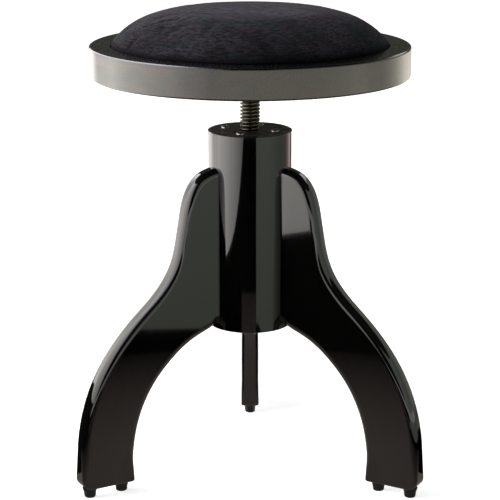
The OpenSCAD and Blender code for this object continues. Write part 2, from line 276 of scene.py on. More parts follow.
@dataclass(frozen=True)
class Finish:
    """A finish: what a surface is made of and how it was finished."""

    name: str
    slot: Slot

    def material(self) -> bpy.types.Material:
        """Find the finish's material, or make it on first use.

        Returns:
            The material.
        """
        found = bpy.data.materials.get(self.name)
        if found:
            return found
        material = bpy.data.materials.new(self.name)
        self.paint(Surface(bare_tree(material)))
        return material

    def paint(self, surface: Surface) -> None:
        """Lay the finish on.

        Args:
            surface: The material's nodes.
        """
        raise NotImplementedError


@dataclass(frozen=True)
class GlossLacquer(Finish):
    """Black cellulose lacquer over beech, rubbed and polished: a clear, nearly mirror-like
    coat with a slight peel, over a black ground in which the grain only just shows."""

    ground: str = "#040404"
    grain: str = "#0b0a09"
    grain_turn: Point3 = (0.0, 0.0, 0.0)
    attribute: str = ""
    ior: float = 1.5
    haze: float = 0.06
    polish: float = 0.03
    # Beech's fibres are finer than 0.1 mm, and are drawn as coarse as they need to show
    fibre: Point3 = (1.1 * MM, 1.1 * MM, 45 * MM)
    fibre_span: Point2 = (0.35, 0.75)
    fibre_depth: float = 0.012 * MM
    peel: Point3 = (5 * MM, 5 * MM, 5 * MM)
    peel_depth: float = 0.0022 * MM

    def paint(self, surface: Surface) -> None:
        """Lay on the ground with its grain, and the coat with its peel.

        Args:
            surface: The material's nodes.
        """
        fibres = surface.pattern(
            self.fibre, 3.0, self.grain_turn, self.attribute, distortion=0.2
        )
        surface.wears({
            "Base Color": linear(self.ground), "Roughness": self.haze, "IOR": self.ior,
            "Coat Weight": 1.0, "Coat IOR": self.ior, "Coat Roughness": self.polish,
        })
        surface.stain(self.grain, fibres, self.fibre_span)
        surface.emboss(fibres, self.fibre_depth)
        surface.emboss(surface.pattern(self.peel, 1.0), self.peel_depth, "Coat Normal")


@dataclass(frozen=True)
class SatinLacquer(Finish):
    """The ring's lacquer, left from the gun: a softer gloss over a warm brown-black, with a
    few specks of dust in it."""

    ground: str = "#0b0a09"
    grain: str = "#2b1e18"
    moss: str = "#16210f"
    speck: str = "#5b5a52"
    # Painted shade: the ring's top gets this blacker colour, fading in over side_fade under
    # side_top
    top: str = "#050504"
    side_top: float = 484.5 * MM
    side_fade: float = 4 * MM
    ior: float = 1.5
    shine: float = 0.42
    coat_roughness: float = 0.11
    # The brown clouds are 48 mm long, a speck of dust is 1.3 mm, the peel's waves are 6 mm
    cloud: Point3 = (48 * MM, 48 * MM, 17 * MM)
    cloud_span: Point2 = (0.35, 0.65)
    moss_patch: Point3 = (40 * MM, 40 * MM, 20 * MM)
    moss_span: Point2 = (0.45, 0.65)
    moss_amounts: Point2 = (0.0, 0.8)
    dust_grain: Point3 = (1.3 * MM, 1.3 * MM, 1.3 * MM)
    dust_span: Point2 = (0.78, 0.84)
    dull_span: Point2 = (0.3, 0.8)
    dullness: Point2 = (0.2, 0.34)
    peel: Point3 = (6 * MM, 6 * MM, 6 * MM)
    peel_depth: float = 0.003 * MM

    def paint(self, surface: Surface) -> None:
        """Lay on the clouded ground, the specks and the softer coat.

        Args:
            surface: The material's nodes.
        """
        surface.wears({
            "Base Color": linear(self.ground), "IOR": self.ior, "Specular IOR Level": self.shine,
            "Coat Weight": 1.0, "Coat IOR": self.ior, "Coat Roughness": self.coat_roughness,
        })
        moss = surface.pattern(self.moss_patch, 1.0, (0.3, 0.1, 0.4))
        dust = surface.pattern(self.dust_grain, 1.0)
        surface.stain(
            self.grain, surface.pattern(self.cloud, 2.0, distortion=0.5), self.cloud_span
        )
        surface.stain(self.moss, moss, self.moss_span, self.moss_amounts)
        surface.stain(self.speck, dust, self.dust_span)
        # Painted shade: the ring's top is painted blacker than its side
        surface.stain(self.top, surface.height(), (self.side_top - self.side_fade, self.side_top))
        surface.dull(dust, self.dull_span, self.dullness)
        surface.emboss(surface.pattern(self.peel, 1.0), self.peel_depth)


@dataclass(frozen=True)
class Steel(Finish):
    """Steel with a skin on it, bright zinc or dark oil, as its colours say: faintly clouded,
    half dull."""

    dark: str = "#8a8883"
    pale: str = "#c4c2bc"
    dullness: Point2 = (0.38, 0.22)
    # The skin is clouded in patches of about 2 mm, and its tooth is drawn at 0.5 mm to show
    patch: Point3 = (2.2 * MM, 2.2 * MM, 2.2 * MM)
    patch_span: Point2 = (0.3, 0.7)
    tooth: Point3 = (0.5 * MM, 0.5 * MM, 0.5 * MM)
    tooth_depth: float = 0.01 * MM

    def paint(self, surface: Surface) -> None:
        """Lay on the metal in patches, with a finer tooth on it.

        Args:
            surface: The material's nodes.
        """
        patches = surface.pattern(self.patch, 3.0, distortion=0.4)
        surface.wears({"Base Color": linear(self.dark), "Metallic": 1.0})
        surface.stain(self.pale, patches, self.patch_span)
        surface.dull(patches, self.patch_span, self.dullness)
        surface.emboss(surface.pattern(self.tooth, 1.0), self.tooth_depth)


@dataclass(frozen=True)
class ScaledSteel(Finish):
    """Hot-rolled steel plate in its mill scale, oiled: blue-black, mottled and streaked by
    the rolls, with rust-brown blooms where the scale has gone."""

    scale: str = "#38312d"
    bare: str = "#a0978b"
    rust: str = "#6a4e3e"
    metal: float = 0.85
    # The rolls' streaks are 14 mm long and 1.4 mm apart, a bloom of rust is 7 mm across, and
    # the scale's fine tooth is drawn at 0.7 mm so that it shows
    streak: Point3 = (14 * MM, 1.4 * MM, 5 * MM)
    streak_span: Point2 = (0.45, 0.68)
    bloom: Point3 = (7 * MM, 7 * MM, 7 * MM)
    rust_span: Point2 = (0.5, 0.72)
    rust_amounts: Point2 = (0.0, 0.8)
    dull_span: Point2 = (0.3, 0.7)
    dullness: Point2 = (0.3, 0.6)
    tooth: Point3 = (0.7 * MM, 0.7 * MM, 0.7 * MM)
    tooth_depth: float = 0.03 * MM

    def paint(self, surface: Surface) -> None:
        """Lay on the scale, the rubbed streaks and the rust.

        Args:
            surface: The material's nodes.
        """
        streaks = surface.pattern(self.streak, 4.0, (0.0, 0.0, 0.5), distortion=0.6)
        blooms = surface.pattern(self.bloom, 3.0)
        surface.wears({"Base Color": linear(self.scale), "Metallic": self.metal})
        surface.stain(self.bare, streaks, self.streak_span)
        surface.stain(self.rust, blooms, self.rust_span, self.rust_amounts)
        surface.dull(blooms, self.dull_span, self.dullness)
        surface.emboss(surface.pattern(self.tooth, 2.0), self.tooth_depth)


@dataclass(frozen=True)
class OiledThread(Finish):
    """A rolled screw thread in old oil: the crests are rubbed to grey steel, and the roots
    between them hold black grease."""

    crest: str = "#605e54"
    root: str = "#1a1815"
    crest_r: float = 11 * MM
    grease_r: float = 9.3 * MM
    # The oil is smeared in patches of 2.5 mm, drawn out to 6 mm along the spindle
    smear: Point3 = (2.5 * MM, 2.5 * MM, 6 * MM)
    smear_span: Point2 = (0.2, 0.6)
    smear_amounts: Point2 = (0.55, 0.0)
    dull_span: Point2 = (0.2, 0.7)
    dullness: Point2 = (0.15, 0.32)

    def paint(self, surface: Surface) -> None:
        """Lay on the grease, the crests by their distance from the axis, and the smears.

        Args:
            surface: The material's nodes.
        """
        flat = add_node(
            surface.tree, "ShaderNodeVectorMath", {0: surface.place(), 1: (1, 1, 0)},
            operation="MULTIPLY",
        )
        radius = add_node(
            surface.tree, "ShaderNodeVectorMath", {0: flat.outputs[0]}, operation="LENGTH"
        ).outputs["Value"]
        smears = surface.pattern(self.smear, 3.0)
        surface.wears({"Base Color": linear(self.root), "Metallic": 1.0})
        surface.stain(self.crest, radius, (self.grease_r, self.crest_r))
        surface.stain(self.root, smears, self.smear_span, self.smear_amounts)
        surface.dull(smears, self.dull_span, self.dullness)


@dataclass(frozen=True)
class CottonVelvet(Finish):
    """Black cotton velvet: a short upright pile that drinks light face on, shows grey at a
    glancing angle, and lies this way and that in broad strokes."""

    pile: str = "#29272c"
    stroked: str = "#3d3a41"
    cast: str = "#243435"
    # The darkest pile colour, used for the streaks and the tufts and for the painted shade beside
    # the ring
    shade: str = "#050406"
    sheen: str = "#8c8891"
    sheen_weight: float = 0.24
    sheen_roughness: float = 0.3
    roughness: float = 0.95
    shine: float = 0.05
    # A hand's stroke through the pile is about 60 mm long
    stroke: Point3 = (60 * MM, 38 * MM, 30 * MM)
    stroke_span: Point2 = (0.35, 0.65)
    stroke_depth: float = 0.6 * MM
    cast_patch: Point3 = (34 * MM, 34 * MM, 22 * MM)
    cast_span: Point2 = (0.5, 0.7)
    cast_amounts: Point2 = (0.0, 0.8)
    # The brush leaves streaks about 7 mm long and 1.4 mm apart in the pile
    streak: Point3 = (7 * MM, 7 * MM, 1.4 * MM)
    streak_span: Point2 = (0.3, 0.7)
    streak_amounts: Point2 = (0.75, 0.0)
    streak_depth: float = 0.8 * MM
    # A tuft of pile is about 0.4 mm across, drawn here at 1.6 mm so that it shows
    tuft: Point3 = (1.6 * MM, 1.6 * MM, 1.2 * MM)
    tuft_span: Point2 = (0.3, 0.6)
    tuft_amounts: Point2 = (0.6, 0.0)
    tuft_depth: float = 0.22 * MM
    # Beside the ring the pile's colour is darkened towards the shade colour as painted shade, which
    # fades out between these heights
    shade_span: Point2 = (486 * MM, 494 * MM)
    shade_amounts: Point2 = (0.92, 0.0)

    def paint(self, surface: Surface) -> None:
        """Lay on the pile, its strokes and its sheen.

        Args:
            surface: The material's nodes.
        """
        strokes = surface.pattern(self.stroke, 2.0, (0.0, 0.0, 0.6), distortion=0.5)
        cast = surface.pattern(self.cast_patch, 1.0, (0.4, 0.2, 0.0))
        streaks = surface.pattern(self.streak, 3.0, distortion=0.4)
        tufts = surface.pattern(self.tuft, 2.0)
        surface.wears({
            "Base Color": linear(self.pile), "Roughness": self.roughness,
            "Specular IOR Level": self.shine, "Sheen Weight": self.sheen_weight,
            "Sheen Roughness": self.sheen_roughness, "Sheen Tint": linear(self.sheen),
        })
        surface.stain(self.stroked, strokes, self.stroke_span)
        surface.stain(self.cast, cast, self.cast_span, self.cast_amounts)
        surface.stain(self.shade, streaks, self.streak_span, self.streak_amounts)
        surface.stain(self.shade, tufts, self.tuft_span, self.tuft_amounts)
        # Painted shade: the pile is darkened beside the ring, fading out up the shade span
        surface.stain(self.shade, surface.height(), self.shade_span, self.shade_amounts)
        surface.emboss(strokes, self.stroke_depth)
        surface.emboss(streaks, self.streak_depth)
        surface.emboss(tufts, self.tuft_depth)


@dataclass(frozen=True)
class MouldedPlastic(Finish):
    """Injection-moulded plastic from a spark-eroded tool: a fine, even, dull grain."""

    colour: str = "#101010"
    worn: str = "#242321"
    dullness: Point2 = (0.45, 0.6)
    dull_span: Point2 = (0.3, 0.7)
    # Scuffs are about 2.5 mm, and the tool's grain of 0.05 mm is drawn at 0.35 mm to show
    scuff: Point3 = (2.5 * MM, 2.5 * MM, 2.5 * MM)
    scuff_span: Point2 = (0.5, 0.75)
    grain: Point3 = (0.35 * MM, 0.35 * MM, 0.35 * MM)
    grain_depth: float = 0.02 * MM

    def paint(self, surface: Surface) -> None:
        """Lay on the grain and a little scuffing.

        Args:
            surface: The material's nodes.
        """
        scuffs = surface.pattern(self.scuff, 3.0)
        surface.wears({"Base Color": linear(self.colour)})
        surface.stain(self.worn, scuffs, self.scuff_span)
        surface.dull(scuffs, self.dull_span, self.dullness)
        surface.emboss(surface.pattern(self.grain, 1.0), self.grain_depth)


@dataclass(frozen=True)
class BrushedEnamel(Finish):
    """Black stoving enamel on steel: hard and half glossy, with brush-wide runs in it."""

    colour: str = "#0e0e0f"
    thin: str = "#1d1c1b"
    dullness: Point2 = (0.28, 0.4)
    dull_span: Point2 = (0.3, 0.7)
    # A run in the enamel is about 9 mm long and 3 mm wide
    run: Point3 = (9 * MM, 3 * MM, 4 * MM)
    run_span: Point2 = (0.4, 0.7)
    run_depth: float = 0.06 * MM

    def paint(self, surface: Surface) -> None:
        """Lay on the enamel and its runs.

        Args:
            surface: The material's nodes.
        """
        runs = surface.pattern(self.run, 2.0)
        surface.wears({"Base Color": linear(self.colour)})
        surface.stain(self.thin, runs, self.run_span)
        surface.dull(runs, self.dull_span, self.dullness)
        surface.emboss(runs, self.run_depth)


@dataclass(frozen=True)
class SawnWood(Finish):
    """Wood or the face veneer of plywood, sanded: fine fibres in slow bands, matt."""

    pale: str = "#cfae7f"
    dark: str = "#a97f50"
    dullness: Point2 = (0.6, 0.75)
    dull_span: Point2 = (0.3, 0.7)
    # A year's band is 16 mm wide in the face, and the fibres are drawn at 1 mm to show
    band: Point3 = (260 * MM, 16 * MM, 16 * MM)
    band_span: Point2 = (0.35, 0.65)
    fibre: Point3 = (60 * MM, 1.0 * MM, 1.0 * MM)
    fibre_span: Point2 = (0.5, 0.8)
    fibre_amounts: Point2 = (0.0, 0.6)
    fibre_depth: float = 0.05 * MM

    def paint(self, surface: Surface) -> None:
        """Lay on the bands and the fibres.

        Args:
            surface: The material's nodes.
        """
        fibres = surface.pattern(self.fibre, 3.0)
        surface.wears({"Base Color": linear(self.pale)})
        surface.stain(self.dark, surface.pattern(self.band, 2.0, distortion=0.8), self.band_span)
        surface.stain(self.dark, fibres, self.fibre_span, self.fibre_amounts)
        surface.dull(fibres, self.dull_span, self.dullness)
        surface.emboss(fibres, self.fibre_depth)


LEG_LACQUER = GlossLacquer(
    "black lacquer on sawn beech", Slot.BLACK_LACQUER, attribute="board",
    grain_turn=(0.0, -0.55, 0.0),
)
COLUMN_LACQUER = GlossLacquer("black lacquer on turned beech", Slot.BLACK_LACQUER)
RING_LACQUER = SatinLacquer("satin black lacquer", Slot.BLACK_LACQUER)
ZINC = Steel("zinc-plated steel", Slot.ZINC_STEEL)
OILED_STEEL = Steel("oiled steel", Slot.DARK_STEEL, pale="#6b6963", dark="#3b3935")
PLATE_SCALE = ScaledSteel("mill-scaled steel plate", Slot.DARK_STEEL)
THREAD = OiledThread("oiled screw thread", Slot.THREAD_STEEL)
ENAMEL = BrushedEnamel("black enamel", Slot.BLACK_ENAMEL)
PLASTIC = MouldedPlastic("black moulded plastic", Slot.GLIDE_PLASTIC)
NYLON = MouldedPlastic(
    "natural nylon", Slot.NYLON, colour="#d9d4c4", worn="#b9b29d", dullness=(0.3, 0.45)
)
STAINED = SawnWood(
    "black-stained birch plywood", Slot.STAINED_BOARD, pale="#1b1715", dark="#0d0b0a",
    dullness=(0.5, 0.65),
)
BIRCH = SawnWood("birch plywood", Slot.PLYWOOD, pale="#d8bd90", dark="#b8945f")
BEECH = SawnWood("beech", Slot.BEECH, fibre=(1.0 * MM, 1.0 * MM, 20 * MM))
VELVET = CottonVelvet("black cotton velvet", Slot.VELVET)


# Meshes


def rounded(corners: Sequence[Point3], steps: int = 7) -> list[Point2]:
    """Round the corners of a closed outline.

    Args:
        corners: Distance, height and corner radius of each corner, in order round it.
        steps: Steps in each rounded corner.

    Returns:
        The outline's points.
    """
    points: list[Point2] = []
    for i, (x, y, r) in enumerate(corners):
        here = Vector((x, y))
        if r <= 0:
            points.append((x, y))
            continue
        back = (Vector(corners[i - 1][:2]) - here).normalized()
        on = (Vector(corners[(i + 1) % len(corners)][:2]) - here).normalized()
        half = back.angle(on) / 2
        centre = here + (back + on).normalized() * (r / math.sin(half))
        first = here + back * (r / math.tan(half)) - centre
        last = here + on * (r / math.tan(half)) - centre
        start = math.atan2(first.y, first.x)
        sweep = (math.atan2(last.y, last.x) - start + math.pi) % math.tau - math.pi
        for k in range(steps + 1):
            a = start + sweep * k / steps
            points.append((centre.x + r * math.cos(a), centre.y + r * math.sin(a)))
    return points


def link(made: bpy.types.Object) -> bpy.types.Object:
    """Link an object to the scene, and return it."""
    bpy.context.scene.collection.objects.link(made)
    return made


def new_object(
    name: str, verts: Sequence[Sequence[float]], faces: Sequence[Sequence[int]]
) -> bpy.types.Object:
    """Make an object from points and faces, with its faces turned outwards.

    Args:
        name: The object's name.
        verts: The points.
        faces: The faces, as indices of points.

    Returns:
        The object, linked to the scene.
    """
    mesh = bpy.data.meshes.new(name)
    mesh.from_pydata([tuple(v) for v in verts], [], [tuple(f) for f in faces])
    turn_outwards(mesh)
    return link(bpy.data.objects.new(name, mesh))


def turn_outwards(mesh: bpy.types.Mesh, weld: float = 1e-7) -> None:
    """Weld doubles and point a closed mesh's faces outwards.

    Args:
        mesh: The mesh to mend.
        weld: Points closer than this, in metres, become one.
    """
    form = bmesh.new()
    form.from_mesh(mesh)
    bmesh.ops.remove_doubles(form, verts=form.verts, dist=weld)
    bmesh.ops.dissolve_degenerate(form, edges=form.edges, dist=weld)
    bmesh.ops.recalc_face_normals(form, faces=form.faces)
    form.to_mesh(mesh)
    form.free()


def lathe(name: str, profile: Sequence[Point2], steps: int) -> bpy.types.Object:
    """Turn a closed profile round the Z axis.

    Args:
        name: The object's name.
        profile: Radius and height of each point, in order round the profile.
        steps: Steps in the full turn.

    Returns:
        The turned object.
    """
    on_axis = 1e-6
    verts: list[Point3] = []
    rings: list[list[int]] = []
    for r, z in profile:
        if r < on_axis:
            rings.append([len(verts)] * steps)
            verts.append((0.0, 0.0, z))
            continue
        rings.append(list(range(len(verts), len(verts) + steps)))
        for k in range(steps):
            a = math.tau * k / steps
            verts.append((r * math.cos(a), r * math.sin(a), z))
    faces: list[list[int]] = []
    for i, ring in enumerate(rings):
        following = rings[(i + 1) % len(rings)]
        for k in range(steps):
            n = (k + 1) % steps
            face = list(dict.fromkeys([ring[k], ring[n], following[n], following[k]]))
            if len(face) > 2:
                faces.append(face)
    return new_object(name, verts, faces)


def settled(made: bpy.types.Object) -> bpy.types.Object:
    """Put an object's modifiers into its mesh.

    Args:
        made: The object.

    Returns:
        The same object, with no modifiers.
    """
    bpy.context.view_layer.update()
    graph = bpy.context.evaluated_depsgraph_get()
    mesh = bpy.data.meshes.new_from_object(
        made.evaluated_get(graph), preserve_all_data_layers=True, depsgraph=graph
    )
    made.modifiers.clear()
    old, made.data = made.data, mesh
    bpy.data.meshes.remove(old)
    mesh.name = made.name
    return made


def polish(made: bpy.types.Object, crease: float = 32.0) -> bpy.types.Object:
    """Shade an object smooth between its creases, with its flat faces kept flat.

    Args:
        made: The object.
        crease: Angle in degrees from which an edge stays sharp.

    Returns:
        The same object.
    """
    made.data.shade_smooth()
    made.data.set_sharp_from_angle(angle=math.radians(crease))
    even = made.modifiers.new("even", "WEIGHTED_NORMAL")
    even.mode, even.weight, even.keep_sharp = "FACE_AREA", 50, True
    return settled(made)


def put_on(made: bpy.types.Object, finish: Finish) -> None:
    """Cover an object with one finish.

    Args:
        made: The object.
        finish: The finish.
    """
    made.data.materials.clear()
    made.data.materials.append(finish.material())


def dress(made: bpy.types.Object, finish: Finish, body: Body, *nodes: str) -> None:
    """Give a piece its finish and body, and let it stand for CAD nodes.

    Args:
        made: The piece.
        finish: Its finish.
        body: The body that it rides on.
        *nodes: The CAD nodes that it replaces.
    """
    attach(made, body.value)
    put_on(made, finish)
    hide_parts(*nodes)
    log.info("%s: %d faces in %s", made.name, len(made.data.polygons), finish.name)


def wear(finish: Finish, *nodes: str) -> None:
    """Give CAD nodes a finish.

    Args:
        finish: The finish.
        *nodes: The nodes that wear it.
    """
    for node in nodes:
        put_on(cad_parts[node], finish)
        log.info("%s: the CAD node, in %s", node, finish.name)


# Geometry node trees


def new_tree(name: str, inputs: dict[str, str]) -> tuple[bpy.types.NodeTree, bpy.types.Node]:
    """Start a geometry node tree.

    Args:
        name: The tree's name.
        inputs: Socket type by input name, besides the geometry.

    Returns:
        The tree and its group input.
    """
    tree = bpy.data.node_groups.new(name, "GeometryNodeTree")
    tree.interface.new_socket("Geometry", in_out="INPUT", socket_type="NodeSocketGeometry")
    for label, kind in inputs.items():
        tree.interface.new_socket(label, in_out="INPUT", socket_type=kind)
    tree.interface.new_socket("Geometry", in_out="OUTPUT", socket_type="NodeSocketGeometry")
    return tree, add_node(tree, "NodeGroupInput")


def end_tree(tree: bpy.types.NodeTree, shape: Socket, finish: Socket) -> None:
    """End a geometry node tree with real meshes in their finish.

    Args:
        tree: The tree.
        shape: The geometry that it has made.
        finish: The material.
    """
    real = add_node(tree, "GeometryNodeRealizeInstances", {"Geometry": shape})
    covered = add_node(
        tree, "GeometryNodeSetMaterial",
        {"Geometry": real.outputs["Geometry"], "Material": finish},
    )
    add_node(tree, "NodeGroupOutput", {"Geometry": covered.outputs["Geometry"]})


def grown(
    made: bpy.types.Object, tree: bpy.types.NodeTree, values: dict[str, object]
) -> bpy.types.Object:
    """Run a geometry node tree on an object and keep the result as a plain mesh.

    Args:
        made: The object that the tree works on.
        tree: The tree.
        values: The tree's inputs by name.

    Returns:
        The same object.
    """
    grow = made.modifiers.new("grow", "NODES")
    grow.node_group = tree
    sockets = {
        item.name: item.identifier
        for item in tree.interface.items_tree
        if item.item_type == "SOCKET" and item.in_out == "INPUT"
    }
    for label, value in values.items():
        grow[sockets[label]] = value
    return settled(made)


def screw_circle() -> bpy.types.NodeTree:
    """Make the tree that sets copies of one screw on a circle.

    Returns:
        The tree. Its inputs are the count, the circle's radius and height, the turn of the
        first screw and the finish.
    """
    sizes = {label: "NodeSocketFloat" for label in ("Radius", "Height", "Turn")}
    tree, given = new_tree(
        "screws on a circle",
        {"Count": "NodeSocketInt"} | sizes | {"Finish": "NodeSocketMaterial"},
    )
    want = given.outputs
    places = add_node(
        tree, "GeometryNodeMeshCircle", {"Vertices": want["Count"], "Radius": want["Radius"]}
    )
    # Each screw was driven home at its own angle, drawn from a fixed seed
    seed = 7
    angle = add_node(
        tree, "FunctionNodeRandomValue", {2: 0.0, 3: math.tau, 8: seed}, data_type="FLOAT"
    )
    facing = add_node(tree, "ShaderNodeCombineXYZ", {"Z": angle.outputs[1]})
    copies = add_node(
        tree, "GeometryNodeInstanceOnPoints",
        {
            "Points": places.outputs["Mesh"], "Instance": want["Geometry"],
            "Rotation": facing.outputs["Vector"],
        },
    )
    height = add_node(tree, "ShaderNodeCombineXYZ", {"Z": want["Height"]})
    turn = add_node(tree, "ShaderNodeCombineXYZ", {"Z": want["Turn"]})
    placed = add_node(
        tree, "GeometryNodeTransform",
        {
            "Geometry": copies.outputs["Instances"], "Translation": height.outputs["Vector"],
            "Rotation": turn.outputs["Vector"],
        },
    )
    end_tree(tree, placed.outputs["Geometry"], want["Finish"])
    return tree


class Drive(Enum):
    """Which way a screw goes in."""

    DOWN = 1
    UP = -1


class Head(Enum):
    """A screw's head: a pan stands over its seat, a countersunk head lies under its face."""

    PAN = "pan"
    COUNTERSUNK = "countersunk"


@dataclass(frozen=True)
class CrossScrew:
    """A cross-recess screw, whose seat is at z = 0 before it is placed."""

    head: Head
    shank_r: float
    length: float
    head_r: float
    head_h: float = 2.6 * MM
    rim: float = 0.15 * MM
    steps: int = 48
    dome_steps: int = 8
    recess: float = 2.4 * MM
    recess_depth: float = 1.7 * MM
    arm_half: float = 0.55 * MM
    overrun: float = 0.5 * MM
    mouth_share: float = 1.12
    tip_share: float = 0.45
    crease: float = 35.0

    def make(self, name: str, drive: Drive) -> bpy.types.Object:
        """Make one screw.

        Args:
            name: Its name.
            drive: Which way it points.

        Returns:
            The screw at the origin.
        """
        shank = [(0.0, -self.length), (self.shank_r, -self.length)]
        if self.head is Head.PAN:
            face = self.head_h
            turns = (QUARTER * k / self.dome_steps for k in range(self.dome_steps + 1))
            flat_r = self.head_r - self.head_h
            dome = [(flat_r + self.head_h * math.cos(a), self.head_h * math.sin(a)) for a in turns]
            outline = [*shank, (self.shank_r, 0.0), *dome, (0.0, face)]
        else:
            face = 0.0
            cone = [(self.shank_r, -self.head_h), (self.head_r, -self.rim)]
            outline = [*shank, *cone, (self.head_r, face), (0.0, face)]
        made = lathe(name, outline, self.steps)
        cross = self.cross(face)
        cut = made.modifiers.new("recess", "BOOLEAN")
        cut.operation, cut.solver, cut.object = "DIFFERENCE", "EXACT", cross
        settled(made)
        bpy.data.objects.remove(cross)
        if drive is Drive.UP:
            made.data.transform(Matrix.Rotation(math.pi, 4, "X"))
        return polish(made, self.crease)

    def cross(self, face: float) -> bpy.types.Object:
        """Make the tapered cross that cuts the recess.

        Args:
            face: Height of the head's face.

        Returns:
            The cutter.
        """
        thin = self.arm_half
        verts: list[Vector] = []
        for z, share in (
            (face + self.overrun, self.mouth_share), (face - self.recess_depth, self.tip_share)
        ):
            wide, end = self.recess * share, thin * share
            for k in range(4):
                turn = Matrix.Rotation(QUARTER * k, 3, "Z")
                for x, y in ((thin, -thin), (wide, -end), (wide, end)):
                    verts.append(turn @ Vector((x, y, 0)) + Vector((0, 0, z)))
        n = len(verts) // 2
        rim = list(range(n))
        faces = [rim, [i + n for i in rim]]
        faces += [[i, (i + 1) % n, (i + 1) % n + n, i + n] for i in rim]
        return new_object("recess cutter", verts, faces)


@dataclass(frozen=True)
class ScrewCircle:
    """Zinc-plated screws on a circle round the axis."""

    screw: CrossScrew
    drive: Drive
    count: int
    radius: float
    height: float
    turn: float = 0.0

    def build(self, name: str, tree: bpy.types.NodeTree, body: Body, node: str) -> None:
        """Make the screws.

        Args:
            name: The piece's name.
            tree: The tree that sets screws on a circle.
            body: The body that they ride on.
            node: The CAD node that they replace.
        """
        made = grown(self.screw.make(name, self.drive), tree, {
            "Count": self.count, "Radius": self.radius, "Height": self.height,
            "Turn": self.turn, "Finish": ZINC.material(),
        })
        dress(made, ZINC, body, node)


# The thread's grid: how many rows make one turn, how many of them lie on the crest, which
# row leaves the bottom, how many rows lie under the thread, and the steps round the spindle
TURN_ROWS = 8
CREST_ROWS = 4
START_ROW = 12
SPIGOT_ROWS = 3
THREAD_STEPS = 72


def thread_tree() -> bpy.types.NodeTree:
    """Make the tree that winds a grid into a right-hand trapezoidal thread.

    Eight rows of the grid make one turn: four on the crest and four in the root. A row rises
    by one pitch round the spindle, so its end meets the row eight above it. The lowest rows
    make the spigot and the last row closes the top.

    Returns:
        The tree. Its inputs are the thread's sizes, the heights of its parts and the finish.
    """
    labels = ["Radius", "Root Radius", "Pitch", "Bottom", "Top", "Spigot Radius", "Spigot Bottom"]
    tree, given = new_tree(
        "screw thread",
        {label: "NodeSocketFloat" for label in labels}
        | {"Rows": "NodeSocketInt", "Finish": "NodeSocketMaterial"},
    )
    want = given.outputs

    def math_of(operation: str, *parts: object) -> Socket:
        """Add a Math node on sockets and numbers, and return its result."""
        numbered = dict(enumerate(parts))
        return add_node(tree, "ShaderNodeMath", numbered, operation=operation).outputs[0]

    def either(test: Socket, no: object, yes: object) -> Socket:
        """Add a mix that gives one of two values by a test of 0 or 1."""
        return math_of("ADD", no, math_of("MULTIPLY", test, math_of("SUBTRACT", yes, no)))

    def from_row(row: Socket, first: int) -> Socket:
        """Add a test that gives 1 in a row and in those above it."""
        return math_of("GREATER_THAN", row, first - 0.5)

    last = math_of("SUBTRACT", want["Rows"], 1)
    grid = add_node(
        tree, "GeometryNodeMeshGrid",
        {
            "Size X": 1.0, "Vertices X": THREAD_STEPS + 1, "Size Y": last,
            "Vertices Y": want["Rows"],
        },
    )
    at_grid = add_node(tree, "GeometryNodeInputPosition").outputs[0]
    spot = add_node(tree, "ShaderNodeSeparateXYZ", {0: at_grid}).outputs
    share = math_of("ADD", spot["X"], 0.5)
    row = math_of("ROUND", math_of("ADD", spot["Y"], math_of("MULTIPLY", last, 0.5)))

    # The thread's rows, held between its bottom and its top
    turns = math_of(
        "ADD", math_of("DIVIDE", math_of("SUBTRACT", row, START_ROW), TURN_ROWS), share
    )
    raw_z = math_of("ADD", want["Bottom"], math_of("MULTIPLY", turns, want["Pitch"]))
    thread_z = math_of("MINIMUM", math_of("MAXIMUM", raw_z, want["Bottom"]), want["Top"])

    # The crest's two outer rows are eased, and both ends of the thread run out to the root
    crest_ease = 0.12 * MM
    phase = math_of("MODULO", row, TURN_ROWS)
    from_middle = math_of("ABSOLUTE", math_of("SUBTRACT", phase, (CREST_ROWS - 1) / 2))
    eased = math_of("MULTIPLY", math_of("GREATER_THAN", from_middle, 1.0), crest_ease)
    crest = math_of("SUBTRACT", want["Radius"], eased)
    wound = either(from_row(phase, CREST_ROWS), crest, want["Root Radius"])
    to_end = math_of(
        "MINIMUM", math_of("SUBTRACT", thread_z, want["Bottom"]),
        math_of("SUBTRACT", want["Top"], thread_z),
    )
    thread_r = math_of("MINIMUM", wound, math_of("ADD", want["Root Radius"], to_end))

    # The pole and the spigot's two rows at the bottom, and the pole at the top
    spigot_z = either(from_row(row, 2), want["Spigot Bottom"], want["Bottom"])
    in_thread = from_row(row, SPIGOT_ROWS)
    z = either(in_thread, spigot_z, thread_z)
    r = math_of(
        "MULTIPLY", either(in_thread, want["Spigot Radius"], thread_r), from_row(row, 1)
    )
    at_top = math_of("GREATER_THAN", row, math_of("SUBTRACT", last, 0.5))
    r = math_of("MULTIPLY", r, math_of("SUBTRACT", 1.0, at_top))
    z = either(at_top, z, want["Top"])

    angle = math_of("MULTIPLY", share, math.tau)
    place = add_node(
        tree, "ShaderNodeCombineXYZ",
        {
            "X": math_of("MULTIPLY", r, math_of("COSINE", angle)),
            "Y": math_of("MULTIPLY", r, math_of("SINE", angle)),
            "Z": z,
        },
    )
    wrapped = add_node(
        tree, "GeometryNodeSetPosition",
        {"Geometry": grid.outputs["Mesh"], "Position": place.outputs["Vector"]},
    )
    weld = 1e-6
    welded = add_node(
        tree, "GeometryNodeMergeByDistance",
        {"Distance": weld, "Geometry": wrapped.outputs["Geometry"]},
    )
    end_tree(tree, welded.outputs["Geometry"], want["Finish"])
    return tree


# Sub-assemblies


